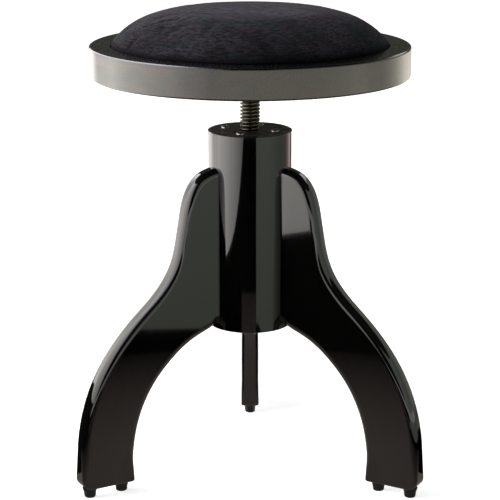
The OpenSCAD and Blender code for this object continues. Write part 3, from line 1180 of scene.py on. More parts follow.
@dataclass
class Column:
    """The turned column, with the nut plate let into its top."""

    bore_r: float = 16 * MM
    arris_r: float = 0.9 * MM
    bore_arris_r: float = 0.8 * MM
    recess_arris_r: float = 0.35 * MM
    plate_fit: float = 0.05 * MM
    plate_t: float = 4 * MM
    plate_arris_r: float = 0.5 * MM
    nut_bore_r: float = 11.06 * MM
    nut_boss_r: float = 19 * MM
    nut_boss_arris_r: float = 0.6 * MM
    lead_w: float = 0.7 * MM
    lead_h: float = 0.8 * MM
    lead_arris_r: float = 0.3 * MM
    screw: CrossScrew = CrossScrew(Head.PAN, shank_r=2.25 * MM, length=26 * MM, head_r=4.5 * MM)
    screw_count: int = 4
    screw_circle_r: float = 29.4 * MM
    screw_turn: float = math.radians(68.8)
    post_steps: int = 256
    plate_steps: int = 160
    radius: float = field(init=False)
    bottom: float = field(init=False)
    top: float = field(init=False)
    plate_r: float = field(init=False)
    nut_bottom: float = field(init=False)

    def __post_init__(self) -> None:
        """Take the main sizes from the CAD nodes."""
        low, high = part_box("column")
        self.radius, self.bottom, self.top = high.x, low.z, high.z
        low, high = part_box("nut_plate")
        self.plate_r, self.nut_bottom = high.x, low.z

    def post(self) -> None:
        """Make the column, bored through and with the recesses for the nut plate."""
        plate_z = self.top - self.plate_t
        recess_r = self.plate_r + self.plate_fit
        boss_r = self.nut_boss_r + self.plate_fit
        corners = [
            (self.bore_r, self.bottom, self.bore_arris_r),
            (self.radius, self.bottom, self.arris_r),
            (self.radius, self.top, self.arris_r),
            (recess_r, self.top, self.recess_arris_r),
            (recess_r, plate_z, 0.0),
            (boss_r, plate_z, 0.0),
            (boss_r, self.nut_bottom, 0.0),
            (self.bore_r, self.nut_bottom, 0.0),
        ]
        made = polish(lathe("column_turned", rounded(corners), self.post_steps))
        dress(made, COLUMN_LACQUER, Body.BASE, "column")

    def nut_plate(self) -> None:
        """Make the steel plate and its threaded boss."""
        plate_z = self.top - self.plate_t
        corners = [
            (self.nut_bore_r, self.nut_bottom, 0.0),
            (self.nut_boss_r, self.nut_bottom, self.nut_boss_arris_r),
            (self.nut_boss_r, plate_z, 0.0),
            (self.plate_r, plate_z, 0.0),
            (self.plate_r, self.top, self.plate_arris_r),
            (self.nut_bore_r + self.lead_w, self.top, self.lead_arris_r),
            (self.nut_bore_r, self.top - self.lead_h, 0.0),
        ]
        made = polish(lathe("nut_plate_steel", rounded(corners), self.plate_steps))
        dress(made, PLATE_SCALE, Body.BASE, "nut_plate")

    def build(self, tree: bpy.types.NodeTree) -> None:
        """Make every piece of the column.

        Args:
            tree: The tree that sets screws on a circle.
        """
        self.post()
        self.nut_plate()
        circle = ScrewCircle(
            self.screw, Drive.DOWN, self.screw_count, self.screw_circle_r, self.top,
            self.screw_turn,
        )
        circle.build("nut_plate_pan_screws", tree, Body.BASE, "nut_plate_screws")


@dataclass
class Leg:
    """One sawn and swept leg, coved to the column."""

    name: str
    turn: float
    column_r: float
    thickness: float = 22 * MM
    reach: float = 169 * MM
    top: float = 353.6 * MM
    joint_bottom: float = 178 * MM
    joint_depth: float = 4 * MM
    root_inset: float = 0.05 * MM
    glide_h: float = 11 * MM
    foot_w: float = 62.4 * MM
    edge_r: float = 8.5 * MM
    foot_edge_r: float = 2 * MM
    foot_ease_h: float = 34 * MM
    outer_corner_r: float = 11 * MM
    inner_corner_r: float = 3 * MM
    outer_steps: int = 26
    arch_steps: int = 39
    corner_steps: int = 10
    edge_steps: int = 14
    flat_rows: int = 2
    # Shares of the reach and of the height over the glides, as in the part's source
    outer_edge: tuple[tuple[Point2, ...], ...] = (
        ((0, 1), (0.227, 0.986), (0.23, 0.871), (0.256, 0.81)),
        ((0.256, 0.81), (0.285, 0.738), (0.286, 0.675), (0.48, 0.586)),
        ((0.48, 0.586), (0.62, 0.522), (1, 0.386), (1, 0.085)),
    )
    inner_arch: tuple[tuple[Point2, ...], ...] = (
        ((0, 1), (0.08, 0.94), (0.249, 0.952), (0.502, 0.809)),
        ((0.502, 0.809), (0.812, 0.633), (1, 0.43), (1, 0.03)),
    )

    def swept(
        self, parts: tuple[tuple[Point2, ...], ...], wide: float, high: float, steps: int
    ) -> list[Vector]:
        """Draw a curve through shares of a width and a height.

        Args:
            parts: The curve's parts, four points each.
            wide: The width.
            high: The height.
            steps: Steps in each part.

        Returns:
            The curve's points, without its last.
        """
        points = []
        for a, b, c, d in parts:
            for k in range(steps):
                t = k / steps
                s = 1 - t
                share = [
                    s**3 * a[i] + 3 * s * s * t * b[i] + 3 * s * t * t * c[i] + t**3 * d[i]
                    for i in (0, 1)
                ]
                points.append(
                    Vector((self.column_r + share[0] * wide, self.glide_h + share[1] * high))
                )
        return points

    def corner(self, x: float, r: float, first: float) -> list[Vector]:
        """Draw a foot's rounded corner, a quarter turn clockwise.

        Args:
            x: Distance of its centre from the axis.
            r: Its radius.
            first: The angle that it starts from.

        Returns:
            The corner's points.
        """
        steps = self.corner_steps
        turns = (first - QUARTER * k / steps for k in range(steps + 1))
        return [
            Vector((x + r * math.cos(a), self.glide_h + r + r * math.sin(a))) for a in turns
        ]

    def outline(self) -> list[Vector]:
        """Draw the leg's outline.

        Returns:
            Its points, clockwise from the top of the joint.
        """
        foot = self.column_r + self.reach
        heel = foot - self.foot_w
        outer = self.swept(
            self.outer_edge, self.reach, self.top - self.glide_h, self.outer_steps
        )
        arch = self.swept(
            self.inner_arch, self.reach - self.foot_w, self.joint_bottom - self.glide_h,
            self.arch_steps,
        )
        root = self.column_r - self.joint_depth
        return [
            Vector((root, self.top)), *outer,
            *self.corner(foot - self.outer_corner_r, self.outer_corner_r, 0.0),
            *self.corner(heel + self.inner_corner_r, self.inner_corner_r, -QUARTER),
            *reversed(arch), Vector((root, self.joint_bottom)),
        ]

    def drawn_in(self, points: list[Vector], depths: list[float]) -> list[Vector]:
        """Move the points of an outline in by their depths.

        Args:
            points: The outline, clockwise.
            depths: The depth at each point.

        Returns:
            The moved points.
        """
        def right_of(a: Vector, b: Vector) -> Vector:
            """Return the normal to the right of the way from a to b."""
            d = (b - a).normalized()
            return Vector((d.y, -d.x))

        moved = []
        for i, p in enumerate(points):
            before = right_of(points[i - 1], p)
            after = right_of(p, points[(i + 1) % len(points)])
            moved.append(p + depths[i] * (before + after) / (1 + before.dot(after)))
        return moved

    def edge_radius(self, height: float) -> float:
        """Return the radius of the board's rounded edges, which is small under the foot."""
        share = min(max((height - self.glide_h) / self.foot_ease_h, 0.0), 1.0)
        return self.foot_edge_r + (self.edge_r - self.foot_edge_r) * share * share * (3 - 2 * share)

    def slices(self) -> list[Point3]:
        """Part the board's thickness into slices.

        Returns:
            The side, the turn round the rounded edge, and how much of the edge's radius
            counts, for each slice from one face to the other.
        """
        turns = [QUARTER * k / self.edge_steps for k in range(self.edge_steps, -1, -1)]
        flats = [2.0 * k / (self.flat_rows + 1) - 1.0 for k in range(1, self.flat_rows + 1)]
        return [
            *((-1.0, a, 1.0) for a in turns), *((side, 0.0, 0.0) for side in flats),
            *((1.0, a, 1.0) for a in reversed(turns)),
        ]

    def make(self) -> bpy.types.Object:
        """Make the leg's mesh, with its place in the board as an attribute.

        Returns:
            The leg, turned to its place.
        """
        outline = self.outline()
        n = len(outline)
        radii = [self.edge_radius(p.y) for p in outline]
        slices = self.slices()
        verts: list[Vector] = []
        for side, a, edge_share in slices:
            line = self.drawn_in(outline, [r * (1 - math.cos(a)) for r in radii])
            for i, p in enumerate(line):
                flat = self.thickness / 2 - radii[i]
                y = side * (flat + edge_share * radii[i] * math.sin(a))
                # The ends of the outline lie on the column, a hair inside its lacquer
                root = math.sqrt((self.column_r - self.root_inset) ** 2 - y * y)
                verts.append(Vector((root if i in (0, n - 1) else max(p.x, root), y, p.y)))
        last = (len(slices) - 1) * n
        faces = [list(range(n)), list(range(last, last + n))]
        for j in range(0, last, n):
            for i in range(n):
                a, b = j + i, j + (i + 1) % n
                faces.append([a, b, b + n, a + n])
        made = new_object(self.name, verts, faces)
        place = made.data.attributes.new("board", "FLOAT_VECTOR", "POINT")
        for vertex in made.data.vertices:
            place.data[vertex.index].vector = vertex.co
        made.data.transform(Matrix.Rotation(self.turn, 4, "Z"))
        return polish(made)


@dataclass
class Legs:
    """The three legs and what holds them."""

    column_r: float
    turns: tuple[tuple[str, float], ...] = (("right", -30.0), ("left", 210.0), ("back", 90.0))

    def build(self) -> None:
        """Make the legs, and dress the dowels."""
        for side, turn in self.turns:
            made = Leg(f"leg_{side}_swept", math.radians(turn), self.column_r).make()
            dress(made, LEG_LACQUER, Body.BASE, f"leg_{side}")
            wear(BEECH, f"dowels_{side}")


@dataclass
class Glides:
    """The moulded pads under the feet, and their nails."""

    foot_r: float = 6.1 * MM
    foot_edge_r: float = 1.4 * MM
    waist_out: float = 0.7 * MM
    waist_share: float = 0.55
    waist_r: float = 12 * MM
    lip_h: float = 0.6 * MM
    lip_under_r: float = 0.3 * MM
    lip_over_r: float = 0.2 * MM
    steps: int = 64
    nodes: tuple[str, ...] = tuple(
        f"glide_{side}_{end}" for side in ("right", "left", "back") for end in ("outer", "inner")
    )

    def build(self) -> None:
        """Make each pad where its CAD node is."""
        for node in self.nodes:
            low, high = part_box(node)
            middle, top = (low + high) / 2, high.z
            wide = (high.x - low.x) / 2
            corners = [
                (0.0, 0.0, 0.0), (self.foot_r, 0.0, self.foot_edge_r),
                (self.foot_r + self.waist_out, self.waist_share * top, self.waist_r),
                (wide, top - self.lip_h, self.lip_under_r), (wide, top, self.lip_over_r),
                (0.0, top, 0.0),
            ]
            made = lathe(f"{node}_pad", rounded(corners), self.steps)
            made.data.transform(Matrix.Translation((middle.x, middle.y, 0.0)))
            dress(polish(made), PLASTIC, Body.BASE, node)
        wear(ZINC, "glide_nails")


@dataclass
class Lift:
    """The screw lift: the spindle, its stop and the flange at its top."""

    radius: float = 11 * MM
    root_r: float = 8.8 * MM
    pitch: float = 4 * MM
    spigot_r: float = 6 * MM
    shoulder: float = 291.5 * MM
    thread_crease: float = 28.0
    spindle_fit: float = 0.05 * MM
    bore_arris_r: float = 0.5 * MM
    boss_r: float = 17 * MM
    boss_arris_r: float = 0.8 * MM
    plate_t: float = 5 * MM
    plate_r: float = 60 * MM
    plate_arris_r: float = 0.7 * MM
    plate_steps: int = 160
    weld: float = 4 * MM
    screw: CrossScrew = CrossScrew(Head.PAN, shank_r=2.25 * MM, length=16 * MM, head_r=4.5 * MM)
    screw_count: int = 6
    screw_circle_r: float = 46 * MM

    def spindle(self) -> None:
        """Wind the spindle's thread."""
        low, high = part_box("spindle")
        turns = math.ceil((high.z - self.shoulder) / self.pitch + 1)
        made = grown(new_object("spindle_thread", [(0, 0, 0)], []), thread_tree(), {
            "Radius": self.radius, "Root Radius": self.root_r, "Pitch": self.pitch,
            "Bottom": self.shoulder, "Top": high.z, "Spigot Radius": self.spigot_r,
            "Spigot Bottom": low.z, "Rows": START_ROW + TURN_ROWS * turns,
            "Finish": THREAD.material(),
        })
        turn_outwards(made.data)
        dress(polish(made, self.thread_crease), THREAD, Body.SEAT, "spindle")

    def flange(self) -> float:
        """Make the flange, with the weld between its plate and its boss.

        Returns:
            Height of the plate's underside.
        """
        low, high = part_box("seat_flange")
        under = high.z - self.plate_t
        inner = self.radius + self.spindle_fit
        corners = [
            (inner, low.z, self.bore_arris_r), (self.boss_r, low.z, self.boss_arris_r),
            (self.boss_r, under - self.weld, 0.0), (self.boss_r + self.weld, under, 0.0),
            (self.plate_r, under, self.plate_arris_r), (self.plate_r, high.z, 0.0),
            (inner, high.z, 0.0),
        ]
        made = polish(lathe("seat_flange_welded", rounded(corners), self.plate_steps))
        dress(made, ENAMEL, Body.SEAT, "seat_flange")
        return under

    def build(self, tree: bpy.types.NodeTree) -> None:
        """Make every piece of the lift.

        Args:
            tree: The tree that sets screws on a circle.
        """
        self.spindle()
        circle = ScrewCircle(
            self.screw, Drive.UP, self.screw_count, self.screw_circle_r, self.flange()
        )
        circle.build("flange_pan_screws", tree, Body.SEAT, "flange_screws")
        wear(NYLON, "stop_washer")
        wear(ZINC, "stop_keeper")
        wear(OILED_STEEL, "stop_screw")


@dataclass
class Seat:
    """The turned ring, the board let into it, and their screws."""

    opening_r: float = 151.5 * MM
    rebate_r: float = 163.5 * MM
    rebate_arris_r: float = 0.4 * MM
    arris_r: float = 2.4 * MM
    opening_arris_r: float = 1.2 * MM
    arris_steps: int = 9
    ring_steps: int = 320
    screw_shank_r: float = 2 * MM
    screw_head_r: float = 4 * MM
    # Count and circle radius of the screws of each node
    screws: tuple[tuple[str, int, float], ...] = (
        ("ring_screws", 6, 157.5 * MM), ("cushion_screws", 4, 110.35 * MM)
    )

    def ring(self) -> None:
        """Make the ring."""
        low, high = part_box("seat_ring")
        board_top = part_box("seat_board")[1].z
        corners = [
            (self.rebate_r, low.z, self.rebate_arris_r), (high.x, low.z, self.arris_r),
            (high.x, high.z, self.arris_r), (self.opening_r, high.z, self.opening_arris_r),
            (self.opening_r, board_top, 0.0), (self.rebate_r, board_top, 0.0),
        ]
        profile = rounded(corners, self.arris_steps)
        made = polish(lathe("seat_ring_turned", profile, self.ring_steps))
        dress(made, RING_LACQUER, Body.SEAT, "seat_ring")

    def build(self, tree: bpy.types.NodeTree) -> None:
        """Make every piece of the seat's woodwork.

        Args:
            tree: The tree that sets screws on a circle.
        """
        self.ring()
        for node, count, radius in self.screws:
            low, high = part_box(node)
            screw = CrossScrew(
                Head.COUNTERSUNK, self.screw_shank_r, high.z - low.z, self.screw_head_r
            )
            circle = ScrewCircle(screw, Drive.UP, count, radius, low.z)
            circle.build(f"{node}_countersunk", tree, Body.SEAT, node)
        wear(STAINED, "seat_board")


@dataclass
class Cushion:
    """The upholstered cushion: a velvet cover that swells over its foam."""

    flatness: float = 4.4
    shoulder: float = 1.29
    crown_h: float = 38.2 * MM
    crown_play: float = 0.6 * MM
    hem_chamfer: float = 2 * MM
    profile_steps: int = 40
    steps: int = 160
    slack: float = 1.2 * MM
    voxel: float = 4 * MM
    # Under the ring's top by this much, the cover is held while it swells
    hold_depth: float = 6 * MM
    cloth_mass: float = 0.3
    pressure: float = 4.0
    swell_frames: int = 20
    swell_quality: int = 6
    swell_most: float = 5 * MM
    # How far in from the edge, how firmly and up to what share of the crown the padding
    # holds the cover's side out
    reach: float = 30 * MM
    firmness: float = 0.95
    padded_rise: float = 0.7
    # Both ends of each crease in the cover, with its depth, in millimetres
    creases: tuple[tuple[Point3, Point3, float], ...] = (
        ((-119.6, -68.8, 502.0), (-127.2, -74.4, 492.3), 2.4),
        ((-109.5, -51.7, 512.3), (-75.4, -58.1, 520.1), 1.4),
    )
    crease_w: float = 2.4 * MM
    edge_r: float = field(init=False)
    bottom: float = field(init=False)
    ring_top: float = field(init=False)

    def __post_init__(self) -> None:
        """Take the cover's place from the CAD nodes."""
        low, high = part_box("cushion_cover")
        self.edge_r, self.bottom = high.x, low.z
        self.ring_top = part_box("seat_ring")[1].z

    def crown(self, r: float, edge_r: float, high: float) -> float:
        """Return the crown's height at a distance from the axis."""
        share = min(abs(r) / edge_r, 1.0)
        return self.ring_top + high * (1 - share**self.flatness) ** (1 / self.shoulder)

    def profile(self, slack: float) -> list[Point2]:
        """Draw the cushion's profile.

        Args:
            slack: How much lower and narrower it is than the finished cushion.

        Returns:
            The profile's points, from the axis round and back.
        """
        edge_r, chamfer, steps = self.edge_r - slack, self.hem_chamfer, self.profile_steps
        points = [
            (0.0, self.bottom), (edge_r - chamfer, self.bottom), (edge_r, self.bottom + chamfer)
        ]
        for k in range(steps, -1, -1):
            r = edge_r * math.sin(QUARTER * k / steps)
            points.append((r, self.crown(r, edge_r, self.crown_h - slack)))
        return points

    def swell(self, made: bpy.types.Object) -> None:
        """Let the cover swell in a cloth simulation, and keep the result.

        Args:
            made: The cover.
        """
        start = [v.co.copy() for v in made.data.vertices]
        held = made.vertex_groups.new(name="held")
        hold_under = self.ring_top - self.hold_depth
        held.add([i for i, p in enumerate(start) if p.z < hold_under], 1.0, "REPLACE")
        cloth = made.modifiers.new("cloth", "CLOTH").settings
        cloth.quality, cloth.mass = self.swell_quality, self.cloth_mass
        cloth.vertex_group_mass = held.name
        cloth.use_pressure, cloth.uniform_pressure_force = True, self.pressure
        cloth.effector_weights.gravity = 0.0
        scene = bpy.context.scene
        for step in range(self.swell_frames):
            scene.frame_set(step + 1)
        graph = bpy.context.evaluated_depsgraph_get()
        swollen = [v.co.copy() for v in made.evaluated_get(graph).data.vertices]
        made.modifiers.clear()
        scene.frame_set(1)
        moves = [b - a for a, b in zip(start, swollen)]
        log.info("the cover swells by up to %.1f mm", max(m.length for m in moves) / MM)
        for vertex, place, move in zip(made.data.vertices, start, moves):
            if move.length > self.swell_most:
                move.length = self.swell_most
            vertex.co = place + move
        made.vertex_groups.clear()

    def keep_in(self, p: Vector) -> None:
        """Keep a point of the cover inside the opening and near the crown.

        Args:
            p: The point's place, which is changed.
        """
        r = math.hypot(p.x, p.y)
        if r > self.edge_r:
            p.x, p.y, r = p.x * self.edge_r / r, p.y * self.edge_r / r, self.edge_r
        # The padding holds the cover's side out, most of all low down
        rise = min(max((p.z - self.ring_top) / self.crown_h, 0.0), 1.0)
        side = self.edge_r * (1 - rise**self.shoulder) ** (1 / self.flatness)
        if rise < self.padded_rise and self.edge_r - self.reach < r < side:
            push = 1 + self.firmness * (1 - rise / self.padded_rise) * (side / r - 1)
            p.x, p.y, r = p.x * push, p.y * push, r * push
        p.z = max(p.z, self.bottom)
        if p.z > self.ring_top:
            play = self.crown_play
            p.z = min(p.z, self.crown(r, self.edge_r + play, self.crown_h + play))

    def press(self, made: bpy.types.Object) -> None:
        """Press the creases into the cover.

        Args:
            made: The cover.
        """
        for first, last, depth in self.creases:
            a, b = Vector(first) * MM, Vector(last) * MM
            for vertex in made.data.vertices:
                share = (vertex.co - a).dot(b - a) / (b - a).length_squared
                off = (vertex.co - a.lerp(b, min(max(share, 0.0), 1.0))).length
                if off < 3 * self.crease_w:
                    pressed = depth * MM * math.exp(-((off / self.crease_w) ** 2))
                    vertex.co -= vertex.normal * pressed

    def build(self) -> None:
        """Make the cushion and dress what is inside it."""
        profile = self.profile(self.slack)
        made = lathe("cushion_velvet", profile, self.steps)
        remesh = made.modifiers.new("remesh", "REMESH")
        remesh.mode, remesh.voxel_size = "VOXEL", self.voxel
        settled(made)
        self.swell(made)
        for vertex in made.data.vertices:
            self.keep_in(vertex.co)
        finer = made.modifiers.new("finer", "SUBSURF")
        finer.levels = finer.render_levels = 1
        settled(made)
        self.press(made)
        made.data.shade_smooth()
        dress(made, VELVET, Body.SEAT, "cushion_cover", "cushion_foam")
        wear(BIRCH, "cushion_board")
        wear(ZINC, "cover_staples")


# Studio


@dataclass(frozen=True)
class SoftBox:
    """A soft lamp with a flat front, which lights matt surfaces."""

    name: str
    centre: Point3
    facing: Point3
    wide: float
    high: float
    brightness: float
    colour: str = "#ffffff"

    def make(self) -> None:
        """Hang the lamp. Its brightness is that of its front, where 1 is white."""
        lamp = bpy.data.lights.new(self.name, "AREA")
        lamp.shape, lamp.size, lamp.size_y = "RECTANGLE", self.wide, self.high
        lamp.energy = self.brightness * math.pi * self.wide * self.high
        lamp.color = linear(self.colour)[:3]
        made = bpy.data.objects.new(self.name, lamp)
        made.location = self.centre
        made.rotation_euler = Vector(self.facing).to_track_quat("-Z", "Y").to_euler()
        made.visible_camera = made.visible_glossy = False
        link(made)


def at(azimuth: float, reach: float, height: float) -> Vector:
    """Return a place round the stool.

    Args:
        azimuth: Degrees from the front, with the left below zero.
        reach: Distance from the axis.
        height: Height over the floor.

    Returns:
        The place.
    """
    turn = math.radians(azimuth)
    return Vector((reach * math.sin(turn), -reach * math.cos(turn), height))


Row = tuple[Vector, float, Vector, float]


@dataclass(frozen=True)
class Card:
    """A card near the stool that only its gloss mirrors: a bright one or a dark one.

    It is a strip between two edges. Each row crosses it, from a place with a brightness on
    the near edge to a place with a brightness on the far edge.
    """

    name: str
    rows: tuple[Row, ...]
    colour: str = "#ffffff"
    clear_behind: bool = False

    def material(self) -> bpy.types.Material:
        """Make the material, which glows as brightly as the card's attribute says.

        Returns:
            The material.
        """
        material = bpy.data.materials.new(self.name)
        tree = bare_tree(material)
        glow = add_node(tree, "ShaderNodeAttribute", attribute_name="glow").outputs["Fac"]
        shine = add_node(
            tree, "ShaderNodeEmission", {"Color": linear(self.colour), "Strength": glow}
        )
        if self.clear_behind:
            behind = add_node(tree, "ShaderNodeNewGeometry").outputs["Backfacing"]
            clear = add_node(tree, "ShaderNodeBsdfTransparent")
            shine = add_node(
                tree, "ShaderNodeMixShader", {0: behind, 1: shine.outputs[0], 2: clear.outputs[0]}
            )
        add_node(tree, "ShaderNodeOutputMaterial", {"Surface": shine.outputs[0]})
        return material

    def make(self) -> None:
        """Set the card up, with its brightness as an attribute."""
        places = [place for row in self.rows for place in (row[0], row[2])]
        glows = [glow for row in self.rows for glow in (row[1], row[3])]
        count = len(self.rows)
        faces = [(2 * k, 2 * k + 1, 2 * k + 3, 2 * k + 2) for k in range(count - 1)]
        mesh = bpy.data.meshes.new(self.name)
        mesh.from_pydata(places, [], faces)
        mesh.attributes.new("glow", "FLOAT", "POINT").data.foreach_set("value", glows)
        mesh.materials.append(self.material())
        made = link(bpy.data.objects.new(self.name, mesh))
        made.visible_camera = made.visible_diffuse = made.visible_shadow = False
        made.visible_transmission = made.visible_volume_scatter = False


def round_card(
    name: str, span: Point2, near: Point3, far: Point3, colour: str = "#ffffff"
) -> Card:
    """Make a card that runs round the axis.

    Args:
        name: The card's name.
        span: Its first and its last azimuth.
        near: Reach, height and brightness of its near edge.
        far: Reach, height and brightness of its far edge.
        colour: The colour of its light.

    Returns:
        The card.
    """
    first, last = span
    row_every = 6
    steps = max(2, math.ceil(abs(last - first) / row_every))
    rows = []
    for k in range(steps + 1):
        azimuth = first + (last - first) * k / steps
        rows.append((at(azimuth, *near[:2]), near[2], at(azimuth, *far[:2]), far[2]))
    return Card(name, tuple(rows), colour)


@dataclass
class Studio:
    """The camera, the pale floor, the soft lamps and the cards."""

    camera_place: Point3 = (0.0, -1.8098, 0.73725)
    camera_tilt: float = 1.3098
    lens: float = 120.14
    sensor: float = 36.0
    # Brightness of the backdrop where it is seen, and where it lights matt surfaces
    glow: float = 1.0
    fill: float = 0.12
    paper: str = "#e6e6e6"
    paper_roughness: float = 0.5
    floor_half: float = 9.0
    # Distance from the axis and the floor's own glow there, at two places
    floor_near: Point2 = (0.7, 0.78)
    floor_far: Point2 = (2.2, 1.0)
    # The left panel's distance from the axis, and the heights at which its brightness is set
    panel_x: float = -0.38
    panel_foot: float = 0.155
    panel_middle: float = 0.5
    panel_top: float = 1.3
    # Place along the panel, and brightness at its foot, at its middle and at its top
    panel_rows: tuple[tuple[float, float, float, float], ...] = (
        (-1.2, 0.85, 1.2, 0.3), (-0.85, 0.95, 1.4, 0.4), (-0.7, 1.2, 1.75, 0.5),
        (-0.5, 1.45, 2.0, 0.8), (-0.3, 1.75, 2.8, 2.6), (-0.15, 2.25, 3.5, 5.5),
        (0.0, 2.5, 3.5, 8.2), (0.08, 2.5, 2.1, 8.0), (0.17, 2.2, 1.1, 7.5),
        (0.36, 2.0, 2.3, 5.4), (0.62, 1.7, 1.7, 6.0),
    )
    # The tables lie over each other on the floor, and brighten towards their far edge
    dark_h: float = 0.3 * MM
    table_h: float = 0.6 * MM
    brown_h: float = 1 * MM
    table_far: float = 2.4
    table_gain: float = 1.45
    # Azimuth, near edge's reach and brightness
    right_rows: tuple[Point3, ...] = (
        (16.5, 0.62, 0.42), (22, 0.62, 0.43), (37, 0.56, 0.44), (52, 0.53, 0.42),
        (70, 0.53, 0.33), (90, 0.53, 0.23), (108, 0.54, 0.2),
    )
    rear_rows: tuple[Point3, ...] = (
        (108, 0.54, 0.2), (116, 0.9, 0.26), (124, 1.0, 0.42), (132, 1.0, 0.7), (142, 1.0, 0.7),
    )
    # The ledge lights the ring's side alone
    ledge_h: float = 0.33
    ledge_near: float = 0.4
    ledge_far: float = 1.5
    # Azimuth and brightness
    ledge_rows: tuple[Point2, ...] = (
        (-50, 1.3), (-30, 1.45), (-15, 1.5), (0, 1.42), (15, 1.35), (30, 1.25), (43, 1.3),
        (55, 1.35), (72, 1.48), (84, 1.05), (96, 0.8), (108, 0.9), (120, 1.18), (128, 1.4),
        (138, 1.2), (150, 0.8), (178, 0.9),
    )
    # The walls' reach and top, and the ceiling's reach and height
    wall_reach: float = 2.6
    wall_top: float = 1.75
    ceiling_reach: float = 1.7
    ceiling_h: float = 2.6
    # Azimuth, bottom and brightness
    wall_rows: tuple[Point3, ...] = (
        (16.5, 0.22, 0.6), (45, 0.22, 0.6), (65, 0.22, 0.5), (90, 0.22, 0.4),
        (100, 0.0, 0.4), (140, 0.0, 0.42),
    )

    def camera(self) -> None:
        """Set up the camera where the photograph was taken from."""
        lens = bpy.data.cameras.new("camera")
        lens.lens, lens.sensor_width = self.lens, self.sensor
        made = bpy.data.objects.new("camera", lens)
        made.location = self.camera_place
        made.rotation_euler = Euler((self.camera_tilt, 0.0, 0.0))
        bpy.context.scene.camera = link(made)

    def seen(self, tree: bpy.types.NodeTree, strength: float, other: float = 0.0) -> Socket:
        """Give a strength where a white is seen, directly or in metal and glass.

        Args:
            tree: The node tree.
            strength: The strength for rays from the camera, from gloss and through glass.
            other: The strength for all other rays.

        Returns:
            The strength.
        """
        path = add_node(tree, "ShaderNodeLightPath").outputs
        ray = path["Is Camera Ray"]
        for kind in ("Is Glossy Ray", "Is Transmission Ray"):
            pair = {0: ray, 1: path[kind]}
            ray = add_node(tree, "ShaderNodeMath", pair, operation="MAXIMUM").outputs[0]
        return add_node(
            tree, "ShaderNodeMapRange", {0: ray, 3: other, 4: strength}
        ).outputs["Result"]

    def floor(self) -> None:
        """Lay the pale floor, which is white to the eye and keeps the stool's shadow."""
        half = self.floor_half
        corners = [(-half, -half, 0), (half, -half, 0), (half, half, 0), (-half, half, 0)]
        made = new_object("floor", corners, [(0, 1, 2, 3)])
        material = bpy.data.materials.new("matt white paper")
        tree = bare_tree(material)
        paper = add_node(
            tree, "ShaderNodeBsdfDiffuse",
            {"Color": linear(self.paper), "Roughness": self.paper_roughness},
        )
        place = add_node(tree, "ShaderNodeTexCoord").outputs["Object"]
        reach = add_node(tree, "ShaderNodeVectorMath", {0: place}, operation="LENGTH")
        (near, near_glow), (far, far_glow) = self.floor_near, self.floor_far
        level = add_node(
            tree, "ShaderNodeMapRange",
            {0: reach.outputs["Value"], 1: near, 2: far, 3: near_glow, 4: far_glow},
        ).outputs["Result"]
        strength = add_node(
            tree, "ShaderNodeMath", {0: level, 1: self.seen(tree, self.glow)},
            operation="MULTIPLY",
        ).outputs[0]
        glow = add_node(
            tree, "ShaderNodeEmission", {"Color": (1, 1, 1, 1), "Strength": strength}
        )
        both = add_node(tree, "ShaderNodeAddShader", {0: paper.outputs[0], 1: glow.outputs[0]})
        add_node(tree, "ShaderNodeOutputMaterial", {"Surface": both.outputs[0]})
        made.data.materials.append(material)

    def backdrop(self) -> None:
        """Make the white backdrop, which gives a weaker fill to matt surfaces."""
        world = bpy.data.worlds.new("white backdrop")
        tree = bare_tree(world)
        glow = add_node(
            tree, "ShaderNodeBackground",
            {"Color": (1, 1, 1, 1), "Strength": self.seen(tree, self.glow, self.fill)},
        )
        add_node(tree, "ShaderNodeOutputWorld", {"Surface": glow.outputs[0]})
        bpy.context.scene.world = world

    def lamps(self) -> None:
        """Hang the lamps: a bright one at the left, a weaker one at the right, one above."""
        # Name, centre, way it faces, width, height, brightness and colour
        for lamp in (
            SoftBox("left lamp", (-1.35, 0.0, 0.75), (1, 0, -0.15), 1.5, 1.2, 9.0, "#fffcf8"),
            SoftBox("right lamp", (1.3, -0.2, 0.8), (-1, 0, -0.1), 1.4, 1.0, 0.4, "#fff3ea"),
            SoftBox("top lamp", (-0.2, 0.25, 2.2), (0.08, -0.1, -1), 1.6, 1.6, 1.3),
        ):
            lamp.make()

    def panels(self) -> list[Card]:
        """Make the bright panel at the left.

        Returns:
            Its lower and its upper part.
        """
        foot, middle, top = self.panel_foot, self.panel_middle, self.panel_top
        cards = []
        for name, low, high, column, colour in (
            ("left panel", foot, middle, 1, "#fefaf4"), ("upper panel", middle, top, 2, "#f8f7fb")
        ):
            rows = tuple(
                (
                    Vector((self.panel_x, row[0], low)), row[column],
                    Vector((self.panel_x, row[0], high)), row[column + 1],
                )
                for row in self.panel_rows
            )
            cards.append(Card(name, rows, colour))
        return cards

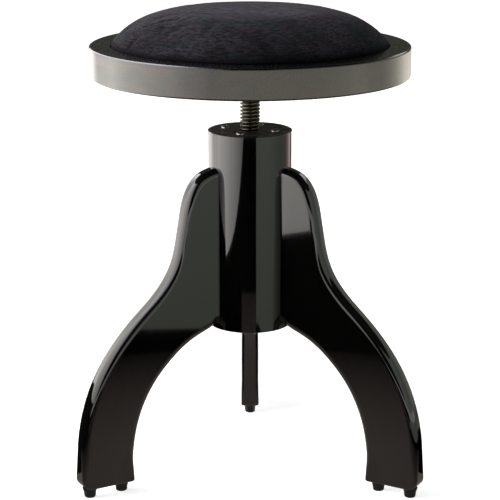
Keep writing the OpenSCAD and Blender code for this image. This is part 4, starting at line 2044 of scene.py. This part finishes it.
    def right_cards(self) -> list[Card]:
        """Make the grey tables, the ledge and the wall at the right and behind.

        Returns:
            The cards.
        """
        far, h, gain = self.table_far, self.table_h, self.table_gain
        tables = []
        for name, spots, colour in (
            ("right table", self.right_rows, "#f8ffed"), ("rear table", self.rear_rows, "#ffe9de")
        ):
            rows = tuple(
                (at(turn, near, h), glow, at(turn, far, h), gain * glow)
                for turn, near, glow in spots
            )
            tables.append(Card(name, rows, colour))
        ledge = tuple(
            (
                at(turn, self.ledge_near, self.ledge_h), glow,
                at(turn, self.ledge_far, self.ledge_h), glow,
            )
            for turn, glow in self.ledge_rows
        )
        wall = tuple(
            (at(turn, self.wall_reach, low), glow, at(turn, self.wall_reach, self.wall_top), glow)
            for turn, low, glow in self.wall_rows
        )
        return [
            *tables,
            Card("ring ledge", ledge, "#fff9ea", clear_behind=True),
            round_card("rim strip", (112, 148), (0.6, 0.65, 1.4), (0.6, 0.78, 1.4), "#fbfaff"),
            Card("right wall", wall, "#f8ffed"),
        ]

    def near_cards(self) -> list[Card]:
        """Make the tables under and before the stool, from the lightest to the black one.

        Returns:
            The cards.
        """
        grey, brown, dark = self.table_h, self.brown_h, self.dark_h
        return [
            round_card("near table", (-180, 180), (0, grey, 0.3), (0.16, grey, 0.3), "#ffeee2"),
            round_card("front table", (-75, 75), (0.16, grey, 0.33), (0.44, grey, 0.03), "#ffeee2"),
            round_card("brown table", (-22, 16), (0.5, brown, 0.2), (0.78, brown, 0.1), "#ffe3da"),
            round_card("dark table", (-152, 152), (0.15, dark, 0.0), (2.5, dark, 0.0)),
        ]

    def dark_cards(self) -> list[Card]:
        """Make the dark room's walls and ceiling.

        Returns:
            The cards.
        """
        far, top, roof, roof_h = self.wall_reach, self.wall_top, self.ceiling_reach, self.ceiling_h
        return [
            round_card("dark left", (-140, -24), (2.5, 0, 0.0), (2.5, 1.8, 0.0)),
            round_card("dark front", (-24, 16.5), (far, 0.24, 0.0), (far, roof_h, 0.02)),
            round_card(
                "dark back", (140, 220), (roof, 0.36, 0.055), (roof, roof_h, 0.04), "#fbffe8"
            ),
            round_card("dark room", (-140, 140), (far, top, 0.03), (roof, roof_h, 0.03)),
            round_card("dark ceiling", (-180, 180), (0, roof_h, 0.03), (roof, roof_h, 0.03)),
        ]

    def build(self) -> None:
        """Set up the whole studio."""
        self.camera()
        self.floor()
        self.backdrop()
        self.lamps()
        for card in self.panels() + self.right_cards() + self.near_cards() + self.dark_cards():
            card.make()
        bpy.context.scene.view_settings.view_transform = "Standard"


def main() -> None:
    """Build the studio and the stool."""
    logging.basicConfig(level=logging.INFO, format="%(name)s: %(message)s")
    Studio().build()
    screws = screw_circle()
    column = Column()
    column.build(screws)
    Legs(column.radius).build()
    Glides().build()
    Lift().build(screws)
    Seat().build(screws)
    Cushion().build()


if __name__ == "__main__":
    main()
